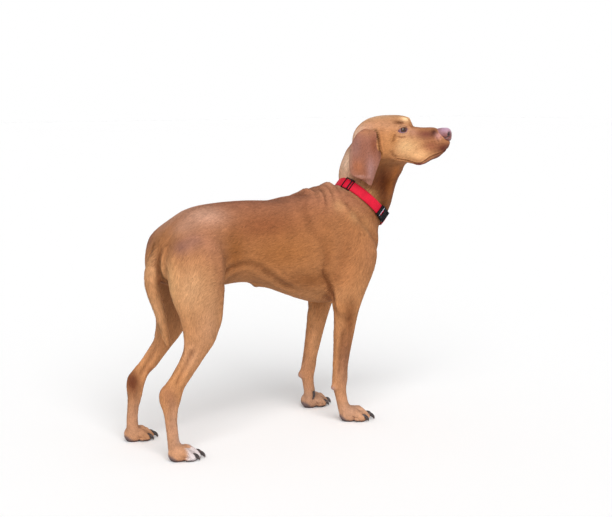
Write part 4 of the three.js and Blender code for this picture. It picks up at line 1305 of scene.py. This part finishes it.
def claw(bm, place, run):
    """A horn along a run of rings, closed at the root and the tip."""
    loop = bmesh.ops.create_circle(bm, segments=CLAW_ROUND, radius=1, cap_ends=True)["verts"]
    edges = list({e for v in loop for e in v.link_edges})
    angles = [2 * math.pi * i / CLAW_ROUND for i in range(CLAW_ROUND)]
    for index, (x, z, radius) in enumerate(run):
        if index:
            fresh, edges = extruded(bm, edges)
            new = set(fresh)
            loop = [next(e.other_vert(v) for e in v.link_edges if e.other_vert(v) in new) for v in loop]
        before, after = run[max(index - 1, 0)], run[min(index + 1, len(run) - 1)]
        slope = math.atan2(after[1] - before[1], after[0] - before[0])
        for v, angle in zip(loop, angles):
            up = radius * math.sin(angle)
            across = radius * CLAW_FLAT * math.cos(angle)
            v.co = place @ Vector((x - math.sin(slope) * up, across, z + math.cos(slope) * up))
    bmesh.ops.contextual_create(bm, geom=loop)


bm = bmesh.new()
world_place = Matrix.Scale(MM, 4) @ Matrix.Translation(Vector(dog_origin))
for paw in PAWS:
    for out, tip, splay in zip(TOE_OUT, TOE_TIP, TOE_SPLAY):
        place = world_place @ paw_frame(paw) @ Matrix.Translation((tip, out, 0))
        claw(bm, place @ Matrix.Rotation(math.radians(splay), 4, "Z"), CLAW_RUN)
for ahead, out in DEWCLAWS:
    claw(bm, world_place @ Matrix.Translation((ahead, out, 0)), DEWCLAW_RUN)
bmesh.ops.recalc_face_normals(bm, faces=bm.faces)
claw_horn, tree, surface = new_material("claw_horn", Roughness=0.34, Coat_Weight=0.3, Coat_Roughness=0.2)
streak = tree.nodes.new("ShaderNodeMapping")
streak.inputs["Scale"].default_value = (60, 420, 420)
tree.links.new(object_place(tree), streak.inputs["Vector"])
streaks = spread(tree, noise(tree, streak.outputs["Vector"], 1, 3), 0, 1, 0.45, 0.8)
tree.links.new(blended(tree, streaks, HORN_DARK, HORN_PALE), surface.inputs["Base Color"])
bumped(tree, surface, noise(tree, streak.outputs["Vector"], 3, 2), 0.2, 0.0003)
claws = new_piece("claws", bm, claw_horn)
applied(claws, ("SUBSURF", dict(levels=1, render_levels=1)))
smooth(claws.data)
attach(claws, "root")
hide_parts(*[n for n in nodes if "claw" in n])

# Collar strap: red nylon webbing 25 mm wide, woven in close rows and stitched near both edges. It lies round
# the lower neck, high at the nape and low at the throat. Its own map runs along it and across it, 10 mm to a
# unit, and carries the weave.
COLLAR_REACH, COLLAR_SIDE = 79.0, 56.0
COLLAR_MIDDLE, COLLAR_LEAN, COLLAR_TURN = (329, -8, 549), math.radians(41), math.radians(-8)
STRAP_WIDTH, STRAP_THICKNESS, STRAP_LIFT, STRAP_CROWN = 25.0, 2.2, 3.2, 0.5
STRAP_ROUND, STRAP_ROWS = 168, 10
ROWS_ACROSS, ROWS_ALONG, ROW_WAVE = 1.5, 2.1, 3.142
MAP_UNIT, STRAP_MEAN_RADIUS = 10, 71
STITCH_LINE, STITCH_HALF, STITCH_STEP, STITCH_GAP = 1.02, 0.04, 20.9, -0.5
WEBBING_DARK, WEBBING_RED, THREAD = (150, 4, 26), (236, 14, 58), (150, 10, 32)
collar_turn = Euler((0, COLLAR_LEAN, COLLAR_TURN)).to_matrix().to_4x4()
collar_place = Matrix.Translation(Vector(from_dog(COLLAR_MIDDLE))) @ collar_turn @ Matrix.Scale(MM, 4)
webbing, tree, surface = new_material("webbing", Roughness=0.62, Sheen_Weight=0.04, Specular_IOR_Level=0.2)
weave_map = tree.nodes.new("ShaderNodeUVMap")
weave_map.uv_map = "weave"


def rows(turn, pitch):
    """Fine raised rows across or along the strap, pitch millimetres apart."""
    turned = tree.nodes.new("ShaderNodeMapping")
    turned.inputs["Rotation"].default_value = (0, 0, math.radians(turn))
    tree.links.new(weave_map.outputs["UV"], turned.inputs["Vector"])
    wave = tree.nodes.new("ShaderNodeTexWave")
    wave.inputs["Scale"].default_value = ROW_WAVE / pitch
    wave.inputs["Distortion"].default_value = 0.6
    tree.links.new(turned.outputs["Vector"], wave.inputs["Vector"])
    return wave.outputs["Fac"]


def reckoned(kind, value, number=0):
    node = tree.nodes.new("ShaderNodeMath")
    node.operation = kind
    tree.links.new(value, node.inputs[0])
    node.inputs[1].default_value = number
    return node.outputs[0]


picks = spread(tree, rows(0, ROWS_ACROSS), 0.4, 1, 0, 1)
ends = spread(tree, rows(90, ROWS_ALONG), 0.5, 1, 0, 1)
weave = times(tree, picks, ends)
split = tree.nodes.new("ShaderNodeSeparateXYZ")
tree.links.new(weave_map.outputs["UV"], split.inputs[0])
stitch = reckoned("SUBTRACT", reckoned("ABSOLUTE", split.outputs["Y"]), STITCH_LINE)
stitch = reckoned("LESS_THAN", reckoned("ABSOLUTE", stitch), STITCH_HALF)
dashes = reckoned("SINE", reckoned("MULTIPLY", split.outputs["X"], STITCH_STEP))
stitch = times(tree, stitch, reckoned("GREATER_THAN", dashes, STITCH_GAP))
wear = spread(tree, noise(tree, object_place(tree), 60, 3), 0.7, 1.2)
red = blended(tree, times(tree, weave, wear), WEBBING_DARK, WEBBING_RED)
tree.links.new(blended(tree, stitch, red, THREAD), surface.inputs["Base Color"])
bumped(tree, surface, weave, 0.6, 0.0004)

bm = bmesh.new()
for v in bmesh.ops.create_circle(bm, segments=STRAP_ROUND, radius=1)["verts"]:
    v.co = ((COLLAR_REACH + STRAP_LIFT) * v.co.x, (COLLAR_SIDE + STRAP_LIFT) * v.co.y, -STRAP_WIDTH / 2)
edges = bm.edges[:]
for row in range(STRAP_ROWS):
    fresh, edges = extruded(bm, edges)
    bmesh.ops.translate(bm, verts=fresh, vec=(0, 0, STRAP_WIDTH / STRAP_ROWS))
bmesh.ops.recalc_face_normals(bm, faces=bm.faces)
weave_layer = bm.loops.layers.uv.new("weave")


def round_neck(p):
    return math.atan2(p.y / COLLAR_SIDE, p.x / COLLAR_REACH)


for f in bm.faces:
    turn = round_neck(f.calc_center_median())
    for corner in f.loops:
        p = corner.vert.co
        step = math.remainder(round_neck(p) - turn, 2 * math.pi)
        corner[weave_layer].uv = ((turn + step) * STRAP_MEAN_RADIUS / MAP_UNIT, p.z / MAP_UNIT)
for v in bm.verts:
    crown = STRAP_CROWN * (0.5 - (v.co.z / (STRAP_WIDTH / 2)) ** 2)
    v.co += Vector((v.co.x, v.co.y, 0)).normalized() * crown
bmesh.ops.transform(bm, verts=bm.verts, matrix=collar_place)
strap = new_piece("collar_strap", bm, webbing)
applied(strap, ("SOLIDIFY", dict(thickness=STRAP_THICKNESS * MM, offset=0)))
smooth(strap.data)
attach(strap, "root")
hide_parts("collar_strap")

# Collar fittings: a slider at the nape and a side-release buckle low on the right of the neck, both moulded
# in black plastic with rounded edges. The webbing runs through their windows.
BUCKLE_ANGLE, BUCKLE_LENGTH, BUCKLE_HEIGHT, BUCKLE_THICKNESS, BUCKLE_LIFT = -58, 19.0, 31.0, 7.0, 4.6
SLIDER_ANGLE, SLIDER_LENGTH, SLIDER_HEIGHT, SLIDER_THICKNESS, SLIDER_LIFT = -154, 25.0, 31.0, 5.0, 4.2
SLIDER_RIM, PLUG_RIM, SOCKET_RIM, BUCKLE_GAP = 2.3, 1.9, 2.4, 0.3
PLASTIC_BLACK, PLASTIC_GLINT = (10, 11, 15), (176, 178, 194)
plastic, tree, surface = new_material("black_plastic", Roughness=0.3, Specular_IOR_Level=0.18)
tree.links.new(spread(tree, noise(tree, object_place(tree), 300, 3), 0.34, 0.52), surface.inputs["Roughness"])
marked(tree, surface, spread(tree, noise(tree, object_place(tree), 120, 4), 0.6, 1.5))
bumped(tree, surface, noise(tree, object_place(tree), 2600, 2), 0.25, 0.0002)


def collar_spot(angle, lift, along=0.0, up=0.0):
    """A place on the collar at an angle round the neck: x out, y along the strap to the throat, z up."""
    at = math.radians(angle)
    face_turn = math.atan2(math.sin(at) / COLLAR_SIDE, math.cos(at) / COLLAR_REACH)
    place = Matrix.Translation((COLLAR_REACH * math.cos(at), COLLAR_SIDE * math.sin(at), 0))
    return collar_place @ place @ Matrix.Rotation(face_turn, 4, "Z") @ Matrix.Translation((lift, along, up))


def rounded(bm, body, edges, edge, place):
    """Rounds some edges of a body and puts it in its place."""
    made = bmesh.ops.bevel(bm, geom=edges, offset=edge, affect="EDGES", segments=3, profile=0.5, material=-1)
    body = {v for v in body if v.is_valid} | set(made["verts"])
    bmesh.ops.transform(bm, verts=list(body), matrix=place)


def framed(bm, place, ends, height, thickness, rim):
    """A plate with a window between each two ends along the strap."""
    verts = bmesh.ops.create_grid(bm, x_segments=len(ends) - 1, y_segments=1, size=0.5)["verts"]
    for v in verts:
        v.co = (0, ends[round((v.co.x + 0.5) * (len(ends) - 1))], v.co.y * height)
    bm.normal_update()
    windows = sorted({f for v in verts for f in v.link_faces}, key=lambda f: f.calc_center_median().y)
    bmesh.ops.inset_individual(bm, faces=windows, thickness=rim)
    bmesh.ops.delete(bm, geom=windows, context="FACES")
    bm.normal_update()
    plate = list({f for v in verts for f in v.link_faces})
    made = bmesh.ops.solidify(bm, geom=plate, thickness=thickness)["geom"]
    body = {v for g in plate + made if isinstance(g, bmesh.types.BMFace) and g.is_valid for v in g.verts}
    shift = sum(v.co.x for v in body) / len(body)
    for v in body:
        v.co.x -= shift
    sharp = [e for e in {e for v in body for e in v.link_edges} if e.is_manifold and e.calc_face_angle() > 1]
    rounded(bm, body, sharp, 0.22 * thickness, place)


def rounded_block(bm, place, size, edge):
    verts = bmesh.ops.create_cube(bm, size=1, matrix=Matrix.Diagonal((*size, 1)))["verts"]
    rounded(bm, verts, list({e for v in verts for e in v.link_edges}), edge, place)


def fitting(name, bm, node, glint_from=None):
    """A finished fitting. Its corners from the given number on are painted pale, a painted highlight on a
    rib.
    """
    bmesh.ops.recalc_face_normals(bm, faces=bm.faces)
    piece = new_piece(name, bm, plastic)
    colours = np.tile(shade(*PLASTIC_BLACK), (len(piece.data.vertices), 1))
    colours[glint_from or len(colours):] = shade(*PLASTIC_GLINT)
    painted(piece.data, colours)
    smooth(piece.data)
    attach(piece, "root")
    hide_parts(node)


bm = bmesh.new()
half = SLIDER_LENGTH / 2
ends = [-half, half - 7.5, half]
framed(bm, collar_spot(SLIDER_ANGLE, SLIDER_LIFT), ends, SLIDER_HEIGHT, SLIDER_THICKNESS, SLIDER_RIM)
fitting("collar_slider", bm, "collar_slider")

# The plug: a plate, the two prongs that click into the socket, and a rib painted pale, a painted highlight.
half = BUCKLE_LENGTH / 2
step = half + BUCKLE_GAP / 2
bm = bmesh.new()
place = collar_spot(BUCKLE_ANGLE, BUCKLE_LIFT, -step)
framed(bm, place, [-half, -1.5, half], BUCKLE_HEIGHT - 2, BUCKLE_THICKNESS, PLUG_RIM)
for prong in (-10.5, 10.5):
    rounded_block(bm, collar_spot(BUCKLE_ANGLE, BUCKLE_LIFT + 2.6, -step + 4.2, prong), (2.4, 8.0, 3.0), 0.8)
plain = len(bm.verts)
place = collar_spot(BUCKLE_ANGLE, BUCKLE_LIFT + BUCKLE_THICKNESS / 2, -step - 1.5)
rounded_block(bm, place, (0.9, 1.6, BUCKLE_HEIGHT - 6), 0.3)
fitting("collar_buckle_plug", bm, "collar_buckle_plug", plain)

# The socket: a plate, the bar that the webbing turns round, and four ribs at each end for the fingers.
bm = bmesh.new()
place = collar_spot(BUCKLE_ANGLE, BUCKLE_LIFT, step)
framed(bm, place, [-half, half - 6.5, half], BUCKLE_HEIGHT, BUCKLE_THICKNESS, SOCKET_RIM)
place = collar_spot(BUCKLE_ANGLE, BUCKLE_LIFT + 1.2, step - 3.4)
rounded_block(bm, place, (4.6, 3.0, BUCKLE_HEIGHT - 4), 1.2)
for end in (-1, 1):
    for rib in range(4):
        place = collar_spot(BUCKLE_ANGLE, BUCKLE_LIFT, step - 6 + 2.2 * rib, end * (BUCKLE_HEIGHT / 2 - 0.6))
        rounded_block(bm, place, (4.4, 1.1, 2.0), 0.4)
fitting("collar_buckle_socket", bm, "collar_buckle_socket")

# Coat: short dense hair that lies back along the body and down the legs. It is laid as thin solid tufts with
# their roots in the skin, smallest on the face and feet, longest on the tail, the buttocks and the throat.
# A tuft is a flat wedge of ten faces. It takes its shade and the fall of the light from the skin at its root.
HAIR_SEED = 11
TUFT_FACES = np.array([
    (0, 1, 4), (0, 4, 3), (1, 2, 5), (1, 5, 4), (2, 0, 3), (2, 3, 5), (3, 4, 6), (4, 5, 6), (5, 3, 6),
    (0, 2, 1),
])
TUFT_SHADES = np.array([0.86, 0.86, 0.9, 1.0, 1.0, 1.05, 1.16])  # from the root to the tip
TUFT_TONE, TONE_SPREAD, ROOT_DEPTH = 0.84, 0.10, 0.3
SWING, WAVE, LEAN = 0.10, 0.07, 0.12
# Each tuft takes a small patch of the bake map round its root's place.
PATCH = np.array([(-1, -1), (1, -1), (0, -0.4), (-0.9, 0.3), (0.9, 0.3), (0, 0.4), (0, 1)]) * 0.0015
rng = np.random.default_rng(HAIR_SEED)


def base_of(piece, colours):
    """What tufts need of the piece they grow on: the places, normals, unwrap and shades of its triangles'
    corners, and its surface."""
    copy = piece.copy()
    copy.data = piece.data.copy()
    bpy.context.scene.collection.objects.link(copy)
    bpy.ops.object.select_all(action="DESELECT")
    copy.select_set(True)
    bpy.context.view_layer.objects.active = copy
    copy.data.uv_layers.new(name="unwrap")
    bpy.ops.object.mode_set(mode="EDIT")
    bpy.ops.mesh.select_all(action="SELECT")
    bpy.ops.uv.smart_project(angle_limit=math.radians(66), island_margin=0.002)
    bpy.ops.object.mode_set(mode="OBJECT")
    mesh = copy.data
    mesh.calc_loop_triangles()
    count = len(mesh.loop_triangles)
    tri, tri_loops = np.empty(count * 3, np.int32), np.empty(count * 3, np.int32)
    mesh.loop_triangles.foreach_get("vertices", tri)
    mesh.loop_triangles.foreach_get("loops", tri_loops)
    uv = np.empty(len(mesh.loops) * 2, np.float32)
    mesh.uv_layers["unwrap"].data.foreach_get("uv", uv)
    co, normals = corners(mesh), facing(mesh)
    bpy.data.objects.remove(copy)
    bpy.data.meshes.remove(mesh)
    tri = tri.reshape(-1, 3)
    uv = uv.reshape(-1, 2)[tri_loops].reshape(-1, 3, 2)
    return co[tri], normals[tri], uv, colours[tri], tree_of(piece.data)


def hairs(name, base, spread_of, count, length_of, width, rise, way_of):
    """Lays tufts over the base: spread_of weighs where they grow and length_of says how long."""
    tri_co, tri_normals, tri_uv, tri_colours, tree = base
    edge_a, edge_b = tri_co[:, 1] - tri_co[:, 0], tri_co[:, 2] - tri_co[:, 0]
    weight = np.linalg.norm(np.cross(edge_a, edge_b), axis=1) * spread_of(tri_co.mean(1))
    chosen = rng.choice(len(weight), count, p=weight / weight.sum())
    share = rng.random((count, 2))
    folded = share.sum(1) > 1
    share[folded] = 1 - share[folded]
    share = np.c_[1 - share.sum(1), share]

    def at_root(values):
        return (values[chosen] * share[:, :, None]).sum(1)

    root, normals = at_root(tri_co), at_root(tri_normals)
    normals /= np.linalg.norm(normals, axis=1)[:, None]

    way = way_of(root, normals)
    across = np.cross(normals, way)
    swing = rng.normal(0, SWING, count) + WAVE * np.sin(root[:, 0] * 61 + 3 * np.sin(root[:, 2] * 47))
    way = way * np.cos(swing)[:, None] + across * np.sin(swing)[:, None]
    across = np.cross(normals, way)
    length = (length_of(root) * rng.uniform(0.7, 1.25, count))[:, None] * MM
    thick = (width * rng.uniform(0.7, 1.2, count))[:, None] * MM
    lift = (rise * rng.uniform(0.5, 1.4, count))[:, None]
    middle_of = np.array([tree.find_nearest(Vector(p))[0] for p in root + way * length * 0.5])
    laid = [tree.find_nearest(Vector(p))[:2] for p in root + way * length]
    tip = np.array([p for p, _ in laid]) + np.array([n for _, n in laid]) * length * lift
    middle_of = middle_of + normals * length * lift * 0.55

    aside, sunk = across * thick * 0.5, normals * ROOT_DEPTH * MM
    points = np.stack([
        root - aside - sunk,
        root + aside - sunk,
        root + normals * thick * 0.06,
        middle_of - aside - normals * thick * 0.1,
        middle_of + aside - normals * thick * 0.1,
        middle_of + normals * thick * 0.14,
        tip,
    ], 1)
    faces = TUFT_FACES[None] + 7 * np.arange(count)[:, None, None]
    mesh = bpy.data.meshes.new(name)
    mesh.vertices.add(count * 7)
    mesh.loops.add(count * 30)
    mesh.polygons.add(count * 10)
    mesh.vertices.foreach_set("co", points.astype(np.float32).ravel())
    mesh.loops.foreach_set("vertex_index", faces.astype(np.int32).ravel())
    mesh.polygons.foreach_set("loop_start", np.arange(0, count * 30, 3, dtype=np.int32))
    colours = at_root(tri_colours) * rng.normal(TUFT_TONE, TONE_SPREAD, count)[:, None]
    painted(mesh, (colours[:, None] * TUFT_SHADES[None, :, None]).reshape(-1, 3))
    bake_map = mesh.uv_layers.new(name="OFBake")
    places = np.clip(at_root(tri_uv)[:, None] + PATCH[None], 0, 1).reshape(-1, 2)
    bake_map.data.foreach_set("uv", places[faces.ravel()].astype(np.float32).ravel())
    mesh.update()
    mesh.validate()
    mesh.materials.append(coat_hair)
    piece = bpy.data.objects.new(name, mesh)
    bpy.context.scene.collection.objects.link(piece)
    smooth(mesh)
    # Hair this fine takes the light as the skin under it does.
    leaning = normals + across * rng.normal(0, LEAN, count)[:, None]
    mesh.normals_split_custom_set_from_vertices(np.repeat(leaning, 7, axis=0))
    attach(piece, "root")


# Where hair grows. The coat's pieces part at the tail, the top of the trunk and legs, and the middle plane.
BARE_HALF, BARE_RISE = 14.6, 9.6


def off_eye(head, side, half, rise):
    """How far out from an eye a place is, as shares of an oval round it, and whether it is in front of it."""
    eye, out, ahead, up = eye_frame(side)
    local = head - eye
    return np.sqrt(((local @ ahead) / half) ** 2 + ((local @ up) / rise) ** 2), local @ out > 0


def haired(co):
    """1 where hair grows, 0 on the nose, in the eyes and on the soles."""
    dog, head = to_dog(co), to_head(co)
    grows = ramp(dog[:, 2], 4, 10)
    for side in (-1, 1):
        away, before = off_eye(head, side, BARE_HALF, BARE_RISE)
        grows *= 1 - (away < 1) * before
    return grows * ((head[:, 0] < nose_edge(head) - 1) | (head[:, 2] < NOSE_FOOT - 3))


def on_tail(dog):
    return (dog[:, 0] < -262) & (np.abs(dog[:, 1]) < 26) & (dog[:, 2] > 215)


def on_trunk(co):
    dog = to_dog(co)
    trunk = (dog[:, 2] > 300) & ((dog[:, 0] < 330) | (dog[:, 2] < 520)) & (dog[:, 2] + 0.9 * dog[:, 0] < 790)
    return trunk & ~on_tail(dog)


def on_leg(co):
    dog = to_dog(co)
    return (dog[:, 2] <= 300) & (dog[:, 2] > 50) & ~on_tail(dog)


def on_face(co):
    head = to_head(co)
    return (head[:, 0] > 20) & (head[:, 2] > -110)


def quarter(co, side, ahead):
    dog = to_dog(co)
    return on_trunk(co) & (dog[:, 1] * side >= 0) & ((dog[:, 0] > -10) == ahead)


# Each piece of the coat: where it lies, how many tufts it has, how wide they are and how far they stand up.
COAT = {
    "coat_chest_right": (lambda co: quarter(co, -1, True), 17000, 1.35, 0.045),
    "coat_chest_left": (lambda co: quarter(co, 1, True), 17000, 1.35, 0.045),
    "coat_haunch_right": (lambda co: quarter(co, -1, False), 16000, 1.35, 0.045),
    "coat_haunch_left": (lambda co: quarter(co, 1, False), 16000, 1.35, 0.045),
    "coat_neck": (lambda co: (to_dog(co)[:, 2] > 480) & ~on_trunk(co) & ~on_face(co), 12000, 1.35, 0.045),
    "coat_head": (lambda co: on_face(co) & ~on_trunk(co), 17000, 0.9, 0.045),
    "coat_fore_legs": (lambda co: on_leg(co) & (to_dog(co)[:, 0] > 0), 10000, 1.1, 0.045),
    "coat_hind_legs": (lambda co: on_leg(co) & (to_dog(co)[:, 0] <= 0), 13000, 1.1, 0.045),
    "coat_feet": (lambda co: to_dog(co)[:, 2] <= 55, 10000, 0.9, 0.045),
    "coat_tail": (lambda co: on_tail(to_dog(co)), 5000, 1.35, 0.14),
}


def hair_length(co):
    """12 mm on the trunk, shorter on legs, feet and face, longer behind the thighs and on the tail."""
    dog, head = to_dog(co), to_head(co)
    length = 12.0 - 3.0 * (1 - ramp(dog[:, 2], 180, 340)) - 3.0 * (1 - ramp(dog[:, 2], 40, 110))
    face_length = 8.0 - 4.0 * ramp(head[:, 0], 90, 190)
    length += (face_length - length) * (on_face(co) & (dog[:, 2] > 400))
    length += 4.0 * near(dog, [-285, 60, 410], (18, 26, 40)) + 4.0 * near(dog, [-285, -60, 410], (18, 26, 40))
    length += 5.0 * on_tail(dog)
    return length


skin_base = base_of(skin, skin_colours)
ear_base = base_of(ears, ear_markings_and_painted_light(corners(ears.data)))
for name, (inside, count, width, rise) in COAT.items():
    hairs(name, skin_base, lambda co: haired(co) * inside(co), count, hair_length, width, rise,
          way_of_hair)

# The hair of ears and lids: shorter and finer than the rest, an even velvet. The rims of the lids stay bare.
EAR_HAIR, LID_HAIR = 6.0, 3.6


def off_the_rim(co):
    head = to_head(co)
    grows = np.zeros(len(co))
    for side in (-1, 1):
        away, _ = off_eye(head, side, LID_HALF + 2.4, LID_RISE + 2.6)
        grows = np.maximum(grows, (away > 1) * (head[:, 1] * side > 0))
    return grows


hairs("coat_ears", ear_base, lambda co: np.ones(len(co)), 9000, lambda co: np.full(len(co), EAR_HAIR),
      1.1, 0.06, way_of_ear_hair)
lid_base = base_of(lids_piece, markings_and_painted_light(corners(lids_piece.data)))
hairs("coat_lids", lid_base, off_the_rim, 3200, lambda co: np.full(len(co), LID_HAIR),
      0.6, 0.03, way_of_hair)
